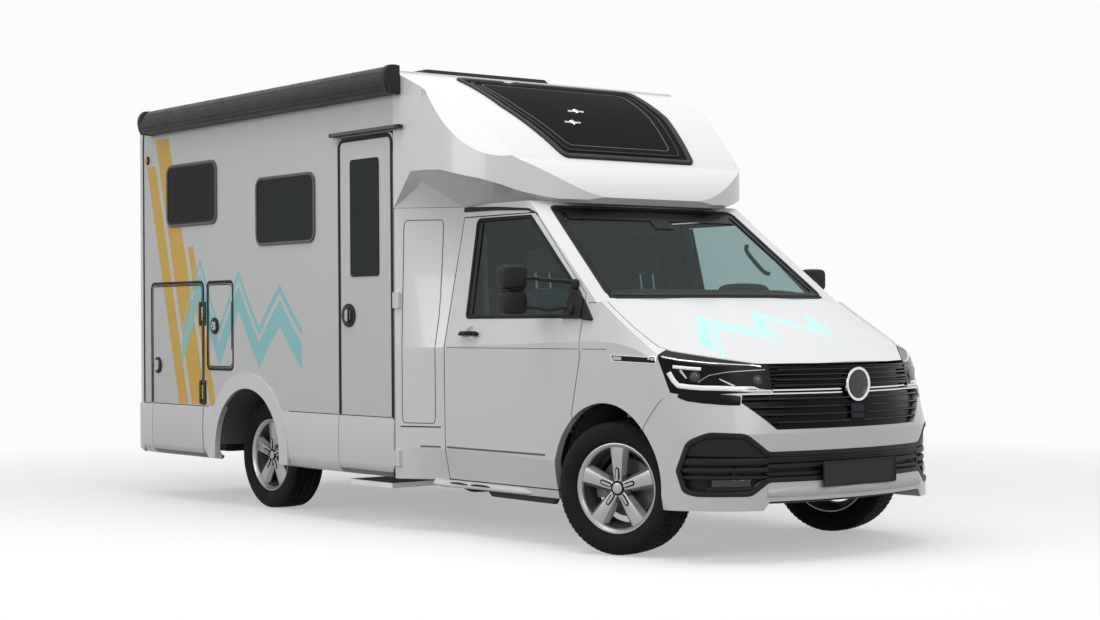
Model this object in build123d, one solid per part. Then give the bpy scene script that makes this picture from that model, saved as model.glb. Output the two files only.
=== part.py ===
from build123d import *
import os

os.makedirs("parts", exist_ok=True)

# Camper van on a semi-integrated body: a steel van cab in front, a wide sandwich-panel
# living box behind it and a moulded cap over the cab roof.  Millimetres.
# +X forward, +Y to the left, +Z up; the origin is on the ground under the middle.

# ---------------------------------------------------------------- driving dimensions
HALF_LENGTH = 2940          # bumper face to mid-length
WHEELBASE = 3400
FRONT_AXLE = 2032           # front axle ahead of mid-length
REAR_AXLE = FRONT_AXLE - WHEELBASE

TYRE_R = 345
TYRE_W = 235
RIM_R = 216                 # bead seat radius, a 17 inch rim
RIM_FLANGE_R = 233
RIM_W = 196
HALF_TRACK = 815
STEER_REST = 18.7           # degrees to the left, as the van is parked
KINGPIN_Y = 735

BOX_HALF = 1085             # living box: half of its outer width
BOX_FRONT = 342
BOX_REAR = -2895
WALL = 32                   # sandwich panel
ROOF_Z = 2660
SKIRT_TOP = 652
SKIRT_LOW = 303
SKIRT_T = 25
FLOOR_TOP = 640
FLOOR_T = 45

CAB_HALF = 952              # cab half width at its crease line
CAB_BACK = 600
CREASE_Z = 1058
TUMBLE = 0.205              # inward lean of the cab side above the crease, per mm of height
PANEL = 40                  # cab wall, whole
GLASS = 5
CAB_ROOF = 1870
SILL_Z = 262

GAP = 6                     # running gap round a moving panel
SEAT = 0.3                  # gap at a hinge barrel or a bearing
BARREL_R = 7                # hinge barrel of a box door
PLATE_T = 8                 # number plate with its holder


# ---------------------------------------------------------------- drawing helpers
def outline(points, radii=None):
    if radii is None:
        return make_face(Polyline(*points, close=True))
    return make_face(FilletPolyline(*points, radius=radii, close=True))


def side_prism(points, y0, y1, radii=None):
    """Outline drawn in X and Z, extruded from y0 to y1."""
    plane = Plane(origin=(0, y0, 0), x_dir=(1, 0, 0), z_dir=(0, -1, 0))
    return extrude(plane * outline(points, radii), amount=y1 - y0, dir=(0, 1, 0))


def plan_prism(points, z0, z1, radii=None):
    """Outline drawn in X and Y, extruded from z0 to z1."""
    return extrude(Pos(0, 0, z0) * outline(points, radii), amount=z1 - z0)


def front_prism(points, x0, x1, radii=None):
    """Outline drawn in Y and Z, extruded from x0 to x1."""
    plane = Plane(origin=(x0, 0, 0), x_dir=(0, 1, 0), z_dir=(1, 0, 0))
    return extrude(plane * outline(points, radii), amount=x1 - x0)


def block(x0, x1, y0, y1, z0, z1):
    """Box by its limits, in any order."""
    centre = ((x0 + x1) / 2, (y0 + y1) / 2, (z0 + z1) / 2)
    return Pos(*centre) * Box(abs(x1 - x0), abs(y1 - y0), abs(z1 - z0))


def rod_x(x0, x1, y, z, radius):
    return Pos((x0 + x1) / 2, y, z) * Rot(0, 90, 0) * Cylinder(radius, abs(x1 - x0))


def rod_y(x, y0, y1, z, radius):
    return Pos(x, (y0 + y1) / 2, z) * Rot(90, 0, 0) * Cylinder(radius, abs(y1 - y0))


def rod_z(x, y, z0, z1, radius):
    return Pos(x, y, (z0 + z1) / 2) * Cylinder(radius, abs(z1 - z0))


def strut(start, end, radius):
    """Round bar between two points."""
    a = Vector(*start)
    b = Vector(*end)
    plane = Plane(origin=a, z_dir=b - a)
    return extrude(plane * Circle(radius), amount=(b - a).length)


def mirror_y(shape):
    return mirror(shape, about=Plane.XZ)


def both(shape):
    """A right-hand shape and its mirror image on the left."""
    return Compound([*shape.solids(), *mirror_y(shape).solids()])


def joined(*shapes):
    """Separate solids kept in one node."""
    solids = []
    for shape in shapes:
        solids.extend(shape.solids())
    return Compound(solids)


def side_y(z):
    """Half width of the cab side above the crease line."""
    return CAB_HALF - (z - CREASE_Z) * TUMBLE


# ---------------------------------------------------------------- cab outer form
# Cross-sections of the front body.
# columns: x, crease half width, crease z, crest half width, crest z, centre z
CREST_REAR_Z = 1300
LOFT_START = 1990
STATIONS = (
    (LOFT_START, CAB_HALF, CREASE_Z, side_y(CREST_REAR_Z), CREST_REAR_Z, 1325),
    (2130, 952, 1053, 912, 1212, 1279),
    (2300, 950, 1035, 919, 1112, 1223),
    (2480, 946, 970, 918, 1008, 1160),
    (2740, 940, 812, 908, 850, 1062),
    (2960, 934, 665, 893, 705, 975),
)
SIDE_FOOT_Y = 905           # half width at the foot of the side
SIDE_KNEE = (948, 480)      # half width and height where the side turns in

# Plan outlines of the nose from the side line round to the centre line:
# side end, via, corner, via, front end, centre.
NOSE_LOW_Z = 640
NOSE_TOP_Z = 1020
NOSE_LOW = ((2330, 940), (2494, 905), (2641, 825), (2760, 707), (2840, 560), (HALF_LENGTH - PLATE_T, 0))
NOSE_TOP = ((2380, 941), (2432, 932), (2472, 900), (2642, 723), (2775, 512), (2920, 0))

# Windscreen and roof: height, half width, front at the side, front at the centre.
SCREEN_LEAN = 1.2475        # run per rise
SCREEN_Z = 1312
SCREEN_CENTRE_X = 1995
SCREEN_SIDE_X = 1930


def body_section(x, crease_y, crease_z, crest_y, crest_z, centre_z, inset):
    plane = Plane(origin=(x, 0, 0), x_dir=(0, 1, 0), z_dir=(1, 0, 0))
    right = [
        (SIDE_FOOT_Y - inset, SILL_Z + inset),
        (SIDE_KNEE[0] - inset, SIDE_KNEE[1]),
        (crease_y - inset, crease_z - inset * TUMBLE),
        (crest_y - inset, crest_z - inset),
    ]
    left = [(-y, z) for y, z in right]
    edges = [Line(left[0], right[0])]
    edges += [Line(right[i], right[i + 1]) for i in range(3)]
    edges.append(ThreePointArc(right[3], (0, centre_z - inset), left[3]))
    edges += [Line(left[i + 1], left[i]) for i in (2, 1, 0)]
    return plane * make_face(edges)


def nose_outline(rows, z, inset, back):
    side, via1, corner, via2, front, centre = [
        (x - inset, y - inset if y else 0) for x, y in rows
    ]
    start = (back, CAB_HALF - inset)

    def m(p):
        return (p[0], -p[1])

    edges = [
        Line(m(start), start),
        Line(start, side),
        ThreePointArc(side, via1, corner),
        ThreePointArc(corner, via2, front),
        ThreePointArc(front, centre, m(front)),
        ThreePointArc(m(front), m(via2), m(corner)),
        ThreePointArc(m(corner), m(via1), m(side)),
        Line(m(side), m(start)),
    ]
    return Pos(0, 0, z) * make_face(edges)


def screen_section(z, inset, back):
    run = (SCREEN_Z - z) * SCREEN_LEAN - inset * 1.5
    half = side_y(z) - inset
    side_x = SCREEN_SIDE_X + run
    centre_x = SCREEN_CENTRE_X + run
    edges = [
        Line((back, half), (back, -half)),
        Line((back, -half), (side_x, -half)),
        ThreePointArc((side_x, -half), (centre_x, 0), (side_x, half)),
        Line((side_x, half), (back, half)),
    ]
    return Pos(0, 0, z) * make_face(edges)


def greenhouse(inset=0, back=CAB_BACK):
    low = screen_section(CREST_REAR_Z - 10 - inset, inset, back)
    high = screen_section(CAB_ROOF - inset, inset, back)
    return loft([low, high], ruled=True)


CAB_FORMS = {}


def cab_form(inset=0, back=CAB_BACK):
    """Outer form of the cab, or the same form set in by a wall."""
    key = (inset, back)
    if key not in CAB_FORMS:
        front = loft([body_section(*row, inset) for row in STATIONS])
        rear = extrude(body_section(back, *STATIONS[0][1:], inset), amount=LOFT_START - back)
        low = nose_outline(NOSE_LOW, 200, inset, back - 50)
        nose = extrude(low, amount=NOSE_LOW_Z - 200)
        nose += loft([
            nose_outline(NOSE_LOW, NOSE_LOW_Z, inset, back - 50),
            nose_outline(NOSE_TOP, NOSE_TOP_Z, inset, back - 50),
        ], ruled=True)
        nose += extrude(nose_outline(NOSE_TOP, NOSE_TOP_Z, inset, back - 50), amount=480)
        CAB_FORMS[key] = ((front + rear) & nose) + greenhouse(inset, back)
    return CAB_FORMS[key]


def cab_skin(outer, inner):
    """Layer of the cab wall between two insets, open at the back."""
    return cab_form(outer) - cab_form(inner, CAB_BACK - 100)


# ---------------------------------------------------------------- cab openings
ARCH_Z = 370
ARCH_R = 412
ARCH_DEPTH_Y = 470          # inner side of the front wheel well
DOOR_REAR = 652
DOOR_LOW = 311
DOOR_TOP = 1797
DOOR_DEPTH_Y = 755          # inner limit of the cab door
DOOR_FRONT = 1846
DOOR_OUTLINE = (
    (DOOR_REAR, DOOR_LOW), (DOOR_REAR, DOOR_TOP), (1308, DOOR_TOP),
    (DOOR_FRONT, 1345), (DOOR_FRONT, 1000), (1781, 729), (1781, DOOR_LOW),
)
WINDOW_OUTLINE = ((822, 1229), (785, 1780), (1270, 1780), (1808, 1340), (1808, 1229))
WINDOW_RADII = (15, 25, 25, 15, 15)
DOOR_GLASS_SET = 3          # door glass behind the door's skin
SCREEN_HALF_LOW = 800
SCREEN_HALF_TOP = 684
SCREEN_LOW_Z = 1322
SCREEN_TOP_Z = 1838
HOOD_REAR = (1962, 2028)    # rear edge at the sides and at the centre line
HOOD_HALF = 862
HOOD_SIDE = ((2230, 878), (2385, 872), (2445, 838), (2772, 512), (2870, 300), (2990, 300))
HOOD_T = 24
HOOD_LIP_Z = 985
LAMP_OUTLINE = (
    (500, 851), (500, 1060), (965, 1060), (965, 866), (850, 829),
)
BUMPER_OUTLINE = ((2250, 600), (2360, 640), (2496, 850), (3000, 850), (3000, 200), (2250, 200))
GRILLE_HALF = 497
GRILLE_TOP = HOOD_LIP_Z - 2
GRILLE_SPLIT = 851
LOWER_GRILLE = ((-506, 659), (506, 659), (654, 794), (640, 840), (-640, 840), (-654, 794))
INTAKE_SIDE = (
    (555, 412), (640, 345), (840, 345), (870, 360), (885, 460), (860, 600), (800, 640), (660, 632), (555, 540),
)
BUMPER_NOTCH = ((-620, 200), (-550, 306), (550, 306), (620, 200))
LAMP_REAR = ((2300, 1100), (2412, 1100), (2500, 850), (2500, 700), (2300, 700))


LINER_ROOM = 4              # wheel-arch liner outside the opening's radius
LINER_T = 8


def arch_cut(clearance=0):
    """Room of the right front wheel."""
    wheel_well = rod_y(FRONT_AXLE + 10, -CAB_HALF - 60, -ARCH_DEPTH_Y, ARCH_Z, ARCH_R + clearance)
    below = block(FRONT_AXLE + 10 - ARCH_R - clearance, FRONT_AXLE + 10 + ARCH_R + clearance,
                  -CAB_HALF - 60, -ARCH_DEPTH_Y, 150, ARCH_Z)
    return wheel_well + below


def grown(points, amount):
    """Outline pushed outwards by a gap."""
    return offset(outline(points), amount=amount, kind=Kind.INTERSECTION)


def side_region(points, amount, y0, y1):
    plane = Plane(origin=(0, y0, 0), x_dir=(1, 0, 0), z_dir=(0, -1, 0))
    return extrude(plane * grown(points, amount), amount=y1 - y0, dir=(0, 1, 0))


def hood_region(amount, z0, z1):
    rear = [(HOOD_REAR[0], -HOOD_HALF), (HOOD_REAR[1], 0), (HOOD_REAR[0], HOOD_HALF)]
    left = [rear[2], *HOOD_SIDE]
    right = [(x, -y) for x, y in left]
    edges = [ThreePointArc(*rear)]
    for side in (left, right):
        edges += [Line(side[i], side[i + 1]) for i in range(len(side) - 1)]
    edges.append(Line(left[-1], right[-1]))
    face = make_face(edges)
    if amount:
        face = offset(face, amount=amount, kind=Kind.INTERSECTION)
    return extrude(Pos(0, 0, z0) * face, amount=z1 - z0)


HOOD_AXIS = (1994, 1303)    # x, z
HOOD_BARREL_R = 8
HOOD_BARREL_Y = ((-640, -560), (560, 640))
CAB_DOOR_AXIS = (DOOR_FRONT + 3, CAB_HALF - 3)  # x, y
CAB_DOOR_BARREL_R = 6
CAB_DOOR_BARRELS = ((1005, 1050),)


def cab_door_barrels(extra):
    """Hinge barrels of the right cab door, or the room they need."""
    x, y = CAB_DOOR_AXIS
    return joined(*[rod_z(x, -y, z0 - extra, z1 + extra, CAB_DOOR_BARREL_R + extra)
                    for z0, z1 in CAB_DOOR_BARRELS])


def hood_barrels(extra):
    x, z = HOOD_AXIS
    return joined(*[rod_y(x, y0 - extra, y1 + extra, z, HOOD_BARREL_R + extra)
                    for y0, y1 in HOOD_BARREL_Y])


def screen_prism(margin):
    low = SCREEN_HALF_LOW - margin
    top = SCREEN_HALF_TOP - margin
    points = [(-low, SCREEN_LOW_Z), (low, SCREEN_LOW_Z), (top, SCREEN_TOP_Z - margin),
              (-top, SCREEN_TOP_Z - margin)]
    return front_prism(points, 1150, 2150)



# ---------------------------------------------------------------- cab pieces
FIREWALL_X = 1890
FIREWALL_T = 30


def make_cab_shell():
    shell = cab_skin(0, PANEL)
    shell -= screen_prism(0)
    firewall = block(FIREWALL_X, FIREWALL_X + FIREWALL_T, -CAB_HALF, CAB_HALF, SILL_Z, HOOD_AXIS[1] - 8)
    shell -= block(FIREWALL_X + FIREWALL_T, 2300, -ARCH_DEPTH_Y - 5, ARCH_DEPTH_Y + 5, 200, SILL_Z + PANEL + 2)
    liner_room = arch_cut(LINER_ROOM + LINER_T + SEAT)
    shell += (firewall & cab_form(0)) - rail_form() - liner_room - mirror_y(liner_room)
    door = side_region(DOOR_OUTLINE, GAP, -1000, -DOOR_DEPTH_Y + GAP)
    shell -= door + mirror_y(door)
    shell -= hood_region(GAP, HOOD_LIP_Z - GAP, 1500)
    hinge_room = block(HOOD_AXIS[0] - 22, HOOD_AXIS[0] + 16, -670, -470, HOOD_AXIS[1] + 3, 1340)
    shell -= hinge_room + mirror_y(hinge_room)
    shell += hood_barrels(0)
    shell -= side_prism(BUMPER_OUTLINE, -1000, 1000)
    lamps = lamp_region()
    shell -= lamps + mirror_y(lamps)
    shell -= block(2560, 3000, -GRILLE_HALF - 20, GRILLE_HALF + 20, 800, 1000)
    arch = arch_cut()
    shell -= arch + mirror_y(arch)
    barrels = cab_door_barrels(0)
    return shell + barrels + mirror_y(barrels)


def lamp_region():
    """Room of the headlamp with the larger |y| on the left."""
    return front_prism(LAMP_OUTLINE, 2412, 3000) - side_prism(LAMP_REAR, -1000, 1000)


def make_windscreen():
    glass = cab_form(3) - cab_form(3 + GLASS)
    return glass & screen_prism(SEAT)


def make_hood():
    region = hood_region(0, HOOD_LIP_Z, 1500)
    return ((cab_form(0) - cab_form(HOOD_T)) & region) - hood_barrels(SEAT)


def make_cab_door():
    door = cab_skin(0, PANEL) & side_region(DOOR_OUTLINE, 0, -1000, -DOOR_DEPTH_Y)
    door -= side_prism(WINDOW_OUTLINE, -1000, -560, WINDOW_RADII)
    door -= arch_cut()
    return door - cab_door_barrels(SEAT)


def make_door_glass():
    top = 1820
    low = 1190
    face = DOOR_GLASS_SET
    slab = front_prism([(-side_y(low) + face, low), (-side_y(low) + face + GLASS, low),
                        (-side_y(top) + face + GLASS, top), (-side_y(top) + face, top)], 700, 1900)
    return slab & side_prism(WINDOW_OUTLINE, -1000, -560, WINDOW_RADII)


def make_mirror():
    """Right door mirror: head on two arms from the sail at the window's front corner."""
    head = front_prism([(-1215, 1235), (-1065, 1235), (-1052, 1300), (-1058, 1480), (-1085, 1505),
                        (-1195, 1505), (-1215, 1480)], 1480, 1580, [20, 20, 30, 20, 20, 20, 20])
    x = 1700
    root_y = -side_y(1300) + 20
    foot = side_prism([(1640, 1236), (1800, 1236), (1800, 1335), (1770, 1365), (1640, 1290)],
                      -side_y(1300) - 26, root_y + 8)
    face = DOOR_GLASS_SET - SEAT
    foot -= front_prism([(-side_y(1200) + face, 1200), (0, 1200), (0, 1400), (-side_y(1400) + face, 1400)],
                        1600, 1850)
    arms = strut((x, root_y - 20, 1330), (1545, -1080, 1425), 12)
    arms += strut((x, root_y - 20, 1262), (1545, -1080, 1272), 12)
    return head + (arms - cab_form(0)) + foot


def make_front_bumper():
    bumper = (cab_form(0) - cab_form(PANEL)) & side_prism(BUMPER_OUTLINE, -1000, 1000)
    lamps = lamp_region()
    bumper -= lamps + mirror_y(lamps)
    bumper -= block(2560, 3000, -GRILLE_HALF - 3, GRILLE_HALF + 3, GRILLE_SPLIT - 11, 1000)
    bumper -= front_prism(LOWER_GRILLE, 2500, 3000)
    bumper -= intake_opening()
    bumper -= front_prism(BUMPER_NOTCH, 2500, 3000)
    arch = arch_cut()
    return bumper - arch - mirror_y(arch)


def intake_opening():
    """One opening right across: the low middle slot and the fog lamp bays at its ends."""
    right = [(-y, z) for y, z in reversed(INTAKE_SIDE)]
    return front_prism([*INTAKE_SIDE, *right], 2480, 3000)


def make_headlamps():
    lamps = (cab_form(1) - cab_form(70)) & lamp_region()
    lamps -= hood_region(GAP, HOOD_LIP_Z - GAP, 1500)
    return both(lamps)


UPPER_BARS = ((868, 876), (886, 894), (904, 914), (924, 932), (942, 950), (962, 972))
LOWER_BARS = ((690, 699), (728, 737), (766, 775), (806, 815))


def make_grille():
    openings = block(2560, 3000, -GRILLE_HALF, GRILLE_HALF, GRILLE_SPLIT - 11, GRILLE_TOP - GAP - 3)
    openings += front_prism(LOWER_GRILLE, 2500, 3000)
    back = (cab_form(22) - cab_form(28)) & openings
    bars = (cab_form(2) - cab_form(24)) & openings
    slabs = joined(*[block(2500, 3000, -700, 700, z0, z1) for z0, z1 in UPPER_BARS + LOWER_BARS])
    emblem = rod_x(2870, 2922, 0, 875, 72)
    return back + (bars & slabs) + emblem


FOG_LAMP = (2745, 662, 440, 42)             # front x, y, z, radius


def make_lower_intake():
    openings = intake_opening()
    back = (cab_form(32) - cab_form(38)) & openings
    ribs = (cab_form(6) - cab_form(34)) & openings
    slabs = joined(*[block(2480, 3000, -560, 560, z, z + 8) for z in (440, 470, 500)])
    x, y, z, radius = FOG_LAMP
    lamp = rod_x(x - 90, x, -y, z, radius)
    plate_bracket = block(2890, HALF_LENGTH - PLATE_T, -200, 200, 418, 472)
    return back + (ribs & slabs) + plate_bracket + lamp + mirror_y(lamp)


def make_number_plates():
    front = block(HALF_LENGTH - PLATE_T, HALF_LENGTH, -262, 262, 373, 490)
    rear = block(BOX_REAR - PLATE_T, BOX_REAR, -262, 262, 700, 816)
    return joined(front, rear)


def make_dashboard():
    profile = [(1600, 940), (1560, 1060), (1600, 1165), (1760, 1215), (FIREWALL_X, 1240), (FIREWALL_X, 900)]
    dash = side_prism(profile, -850, 850, [30, 40, 50, 40, 1, 1])
    x, y, z = WHEEL_HUB
    column = strut((x + 180, y, z - 69), (x + 24, y, z - 9), 28)
    return dash + column


WHEEL_TILT = 21.0
WHEEL_HUB = (1480, 400, 1128)


def make_steering_wheel():
    ring = Torus(182, 14)
    hub = Cylinder(34, 40)
    spokes = Box(350, 30, 14) + Pos(0, -90, 0) * Box(30, 170, 14)
    wheel = ring + hub + spokes
    return Pos(*WHEEL_HUB) * Rot(0, -90 + WHEEL_TILT, 0) * Rot(0, 0, 90) * wheel


def make_seat(y):
    cushion = block(900, 1390, y - 250, y + 250, 800, 940)
    back = side_prism([(880, 900), (1010, 930), (900, 1440), (790, 1430)], y - 240, y + 240, [30, 30, 40, 40])
    rest = side_prism([(800, 1462), (890, 1466), (872, 1640), (800, 1632)], y - 130, y + 130, [20, 20, 30, 30])
    posts = strut((840, y - 50, 1400), (838, y - 50, 1500), 7) + strut((840, y + 50, 1400), (838, y + 50, 1500), 7)
    base = block(930, 1340, y - 200, y + 200, 600, 810)
    return cushion + back + rest + posts + base


def make_cab_seats():
    return joined(make_seat(-400), make_seat(400))


# ---------------------------------------------------------------- roof cap over the cab
CAP_T = 30
CAP_LOW_Z = 1858
CAP_NOSE = (1376, 1893)
CAP_TOP = ((BOX_FRONT, 2648), (800, 2426), (1200, 2104))
CAP_PLAN = ((BOX_FRONT, BOX_HALF), (600, 1064), (990, 1008), (1215, 832), (1318, 640), (1372, 400), (1390, 0))
SKYLIGHT = ((390, 672), (780, 632), (1170, 488))    # x, half width from the top to the bottom
CAP_FACET_AT = (928.5, 985, 2280.7)         # side bevel: a point and the outward normal
CAP_FACET_NORMAL = (0.598, 0.6477, 0.4722)


def cap_form(inset):
    back = BOX_FRONT - (100 if inset else 0)
    top = [(x - inset * 0.5, z - inset * 0.9) for x, z in CAP_TOP]
    nose = (CAP_NOSE[0] - inset, CAP_NOSE[1])
    low_z = CAP_LOW_Z - (100 if inset else 0)
    keel = (1350 - inset, low_z)
    profile = make_face([
        Line((back, low_z), (back, top[0][1])),
        Line((back, top[0][1]), top[0]) if inset else Line((back, top[0][1]), (back + 1, top[0][1])),
        ThreePointArc(top[0] if inset else (back + 1, top[0][1]), top[1], top[2]),
        ThreePointArc(top[2], ((top[2][0] + nose[0]) / 2 + 14, (top[2][1] + nose[1]) / 2 + 14), nose),
        Line(nose, keel),
        Line(keel, (back, low_z)),
    ])
    plane = Plane(origin=(0, -1200, 0), x_dir=(1, 0, 0), z_dir=(0, -1, 0))
    side = extrude(plane * profile, amount=2400, dir=(0, 1, 0))
    rows = [(x - inset, max(y - inset, 0)) for x, y in CAP_PLAN]
    rows[0] = (back, CAP_PLAN[0][1] - inset)
    left = [(x, -y) for x, y in rows]
    plan = make_face([
        Line(left[0], rows[0]),
        Line(rows[0], rows[1]),
        ThreePointArc(rows[1], rows[2], rows[3]),
        ThreePointArc(rows[3], rows[4], rows[5]),
        ThreePointArc(rows[5], rows[6], left[5]),
        ThreePointArc(left[5], left[4], left[3]),
        ThreePointArc(left[3], left[2], left[1]),
        Line(left[1], left[0]),
    ])
    form = side & extrude(Pos(0, 0, 1700) * plan, amount=1100)
    cuts = undercut(inset) + facet_cut(inset)
    return form - cuts - mirror_y(cuts)


# Room under the cap's side lip, section by section.
# columns: x, lip half width, lip z, foot half width, foot z
UNDERCUT = (
    (BOX_FRONT, 1085, 1862, 790, 1850),
    (500, 1074, 2068, 790, 1850),
    (610, 1064, 2066, 785, 1850),
    (785, 1043, 2056, 770, 1850),
    (1042, 978, 1995, 730, 1850),
    (1136, 905, 1961, 690, 1850),
    (1223, 820, 1917, 650, 1850),
    (1312, 655, 1880, 520, 1846),
    (1400, 330, 1874, 280, 1844),
)


def undercut(inset):
    rise = inset * 1.4
    faces = []
    for x, lip_y, lip_z, foot_y, foot_z in UNDERCUT:
        plane = Plane(origin=(x, 0, 0), x_dir=(0, 1, 0), z_dir=(1, 0, 0))
        faces.append(plane * outline([(foot_y, foot_z + rise), (lip_y, lip_z + rise), (1300, lip_z + rise),
                                      (1300, 1600), (foot_y, 1600)]))
    return loft(faces, ruled=True)


def facet_cut(inset):
    """What the bevel takes off the left upper side."""
    normal = Vector(*CAP_FACET_NORMAL)
    face = Plane(origin=Vector(*CAP_FACET_AT) - normal * inset, z_dir=normal)
    return face * Pos(0, 0, 1000) * Box(4000, 4000, 2000)


def skylight_region(margin):
    m = margin
    left = [(SKYLIGHT[0][0] + m, SKYLIGHT[0][1] - m), (SKYLIGHT[1][0], SKYLIGHT[1][1] - m),
            (SKYLIGHT[2][0] - m, SKYLIGHT[2][1] - m)]
    right = [(x, -y) for x, y in reversed(left)]
    return plan_prism([*left, *right], 1900, 2800, 30)


def make_roof_cap():
    cap = cap_form(0) - cap_form(CAP_T)
    cap -= skylight_region(0)
    wing = loft([
        Pos(0, 0, FAIRING_TOP) * outline([(BOX_FRONT, 1085), (FAIRING_FRONT, 787), (FAIRING_FRONT, 757),
                                          (BOX_FRONT, 1053)]),
        Pos(0, 0, 2072) * outline([(BOX_FRONT, 1085), (500, 1059), (610, 930), (BOX_FRONT, 1000)]),
    ], ruled=True)
    return (cap + wing + mirror_y(wing)) - cab_form(0)


def make_skylight():
    pane = cap_form(2) - cap_form(2 + 12)
    return pane & skylight_region(SEAT)


# ---------------------------------------------------------------- living box
REAR_RETURN = -2808         # where the rear wall's corners meet the side walls
CORNER_R = 60
ROOF_LOW = ROOF_Z - WALL
INNER_Y = BOX_HALF - WALL

ENTRY_DOOR = (-251, BOX_FRONT - 5, SKIRT_LOW, 2303)         # x0, x1, z0, z1
GARAGE_DOOR = (-2667, -1949, SKIRT_LOW, 1466)
HATCH = (-1868, -1552, 913, 1465)
ENTRY_WINDOW = (-112, 192, 1476, 2168)
REAR_WINDOW = (-2430, -1745, 1870, 2281)
MID_WINDOW = (-1216, -517, 1703, 2123)
REAR_ARCH_X = REAR_AXLE + 15
REAR_ARCH_R = 412
FLARE_R = 512
DOOR_BARREL_Z = {"entry": (420, 1330, 2230), "garage": (744, 1268), "hatch": (985, 1393)}
BARREL_HALF = 45


def rect_y(limits, margin, y0, y1, radius):
    x0, x1, z0, z1 = limits
    m = margin
    points = [(x0 - m, z0 - m), (x1 + m, z0 - m), (x1 + m, z1 + m), (x0 - m, z1 + m)]
    return side_prism(points, y0, y1, radius)


def skirt_form(x0, x1):
    """Right skirt: bulged face, rounded foot that turns in under the body."""
    out = BOX_HALF
    section = make_face([
        Line((-out, SKIRT_TOP), (-out + SKIRT_T, SKIRT_TOP)),
        Line((-out + SKIRT_T, SKIRT_TOP), (-out + SKIRT_T, 370)),
        ThreePointArc((-out + SKIRT_T, 370), (-out + 34, 345), (-out + 60, SKIRT_LOW + 20)),
        Line((-out + 60, SKIRT_LOW + 20), (-out + 45, SKIRT_LOW)),
        ThreePointArc((-out + 45, SKIRT_LOW), (-out + 9, 335), (-out - 4, 380)),
        ThreePointArc((-out - 4, 380), (-out - 8, 500), (-out, SKIRT_TOP)),
    ])
    plane = Plane(origin=(x0, 0, 0), x_dir=(0, 1, 0), z_dir=(1, 0, 0))
    return extrude(plane * section, amount=x1 - x0)


def barrels(axis_x, middles, extra=0):
    """Outside hinge barrels of a box door, half sunk in the panel's face."""
    return joined(*[rod_z(axis_x, -BOX_HALF - 2, z - BARREL_HALF - extra, z + BARREL_HALF + extra,
                          BARREL_R + extra) for z in middles])


DOOR_AXIS_Y = -BOX_HALF - 2
GARAGE_AXIS_X = GARAGE_DOOR[1] + GAP / 2
HATCH_AXIS_X = HATCH[1] + GAP / 2
ENTRY_AXIS_X = ENTRY_DOOR[1] + GAP / 2


def wall_block():
    return block(REAR_RETURN, BOX_FRONT, -BOX_HALF, -INNER_Y, SKIRT_TOP, ROOF_LOW)


def arch_opening(radius, y0, y1):
    return rod_y(REAR_ARCH_X, y0, y1, ARCH_Z, radius) + block(
        REAR_ARCH_X - radius, REAR_ARCH_X + radius, y0, y1, 150, ARCH_Z)


def make_side_wall_right():
    wall = wall_block()
    wall -= rect_y(REAR_WINDOW, 0, -1200, -1000, 45)
    wall -= rect_y(MID_WINDOW, 0, -1200, -1000, 45)
    wall -= rect_y(HATCH, GAP, -1200, -1000, 25)
    garage = (GARAGE_DOOR[0], GARAGE_DOOR[1], 500, GARAGE_DOOR[3])
    wall -= rect_y(garage, GAP, -1200, -1000, 30)
    entry = (ENTRY_DOOR[0], ENTRY_DOOR[1] + 200, 500, ENTRY_DOOR[3])
    wall -= rect_y(entry, GAP, -1200, -1000, 30)
    wall -= arch_opening(REAR_ARCH_R, -1200, -1000)
    wall += barrels(GARAGE_AXIS_X, DOOR_BARREL_Z["garage"])
    return wall + barrels(HATCH_AXIS_X, DOOR_BARREL_Z["hatch"])


def make_side_wall_left():
    wall = wall_block()
    wall -= rect_y(REAR_WINDOW, 0, -1200, -1000, 45)
    wall -= rect_y(MID_WINDOW, 0, -1200, -1000, 45)
    wall -= arch_opening(REAR_ARCH_R, -1200, -1000)
    return mirror_y(wall)


def make_side_windows():
    panes = []
    for limits in (REAR_WINDOW, MID_WINDOW):
        pane = rect_y(limits, -SEAT, -BOX_HALF - 8, -BOX_HALF + 20, 44)
        panes += [pane, mirror_y(pane)]
    return joined(*panes)


def make_entry_door():
    x0, x1, z0, z1 = ENTRY_DOOR
    leaf = block(x0, x1, -BOX_HALF, -INNER_Y, SKIRT_TOP, z1)
    top_edges = leaf.edges().filter_by(Axis.Y).group_by(Axis.Z)[-1]
    leaf = fillet(top_edges, 30)
    leaf += skirt_form(x0, x1)
    leaf -= rect_y(ENTRY_WINDOW, 0, -1200, -1000, 45)
    leaf -= barrels(ENTRY_AXIS_X, DOOR_BARREL_Z["entry"], SEAT)
    handle = side_prism([(-150, 1212), (-108, 1212), (-108, 1280), (-150, 1280)], -BOX_HALF - 24, -BOX_HALF + 2, 15)
    return leaf + handle


def make_entry_window():
    return rect_y(ENTRY_WINDOW, -SEAT, -BOX_HALF - 5, -BOX_HALF + 20, 44)


def make_garage_door():
    x0, x1, z0, z1 = GARAGE_DOOR
    leaf = block(x0, x1, -BOX_HALF, -INNER_Y, SKIRT_TOP, z1)
    leaf = fillet(leaf.edges().filter_by(Axis.Y).group_by(Axis.Z)[-1], 30)
    leaf += skirt_form(x0, x1)
    leaf -= barrels(GARAGE_AXIS_X, DOOR_BARREL_Z["garage"], SEAT)
    handle = side_prism([(-2612, 882), (-2562, 882), (-2562, 952), (-2612, 952)], -BOX_HALF - 20, -BOX_HALF + 2, 15)
    return leaf + handle


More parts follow.
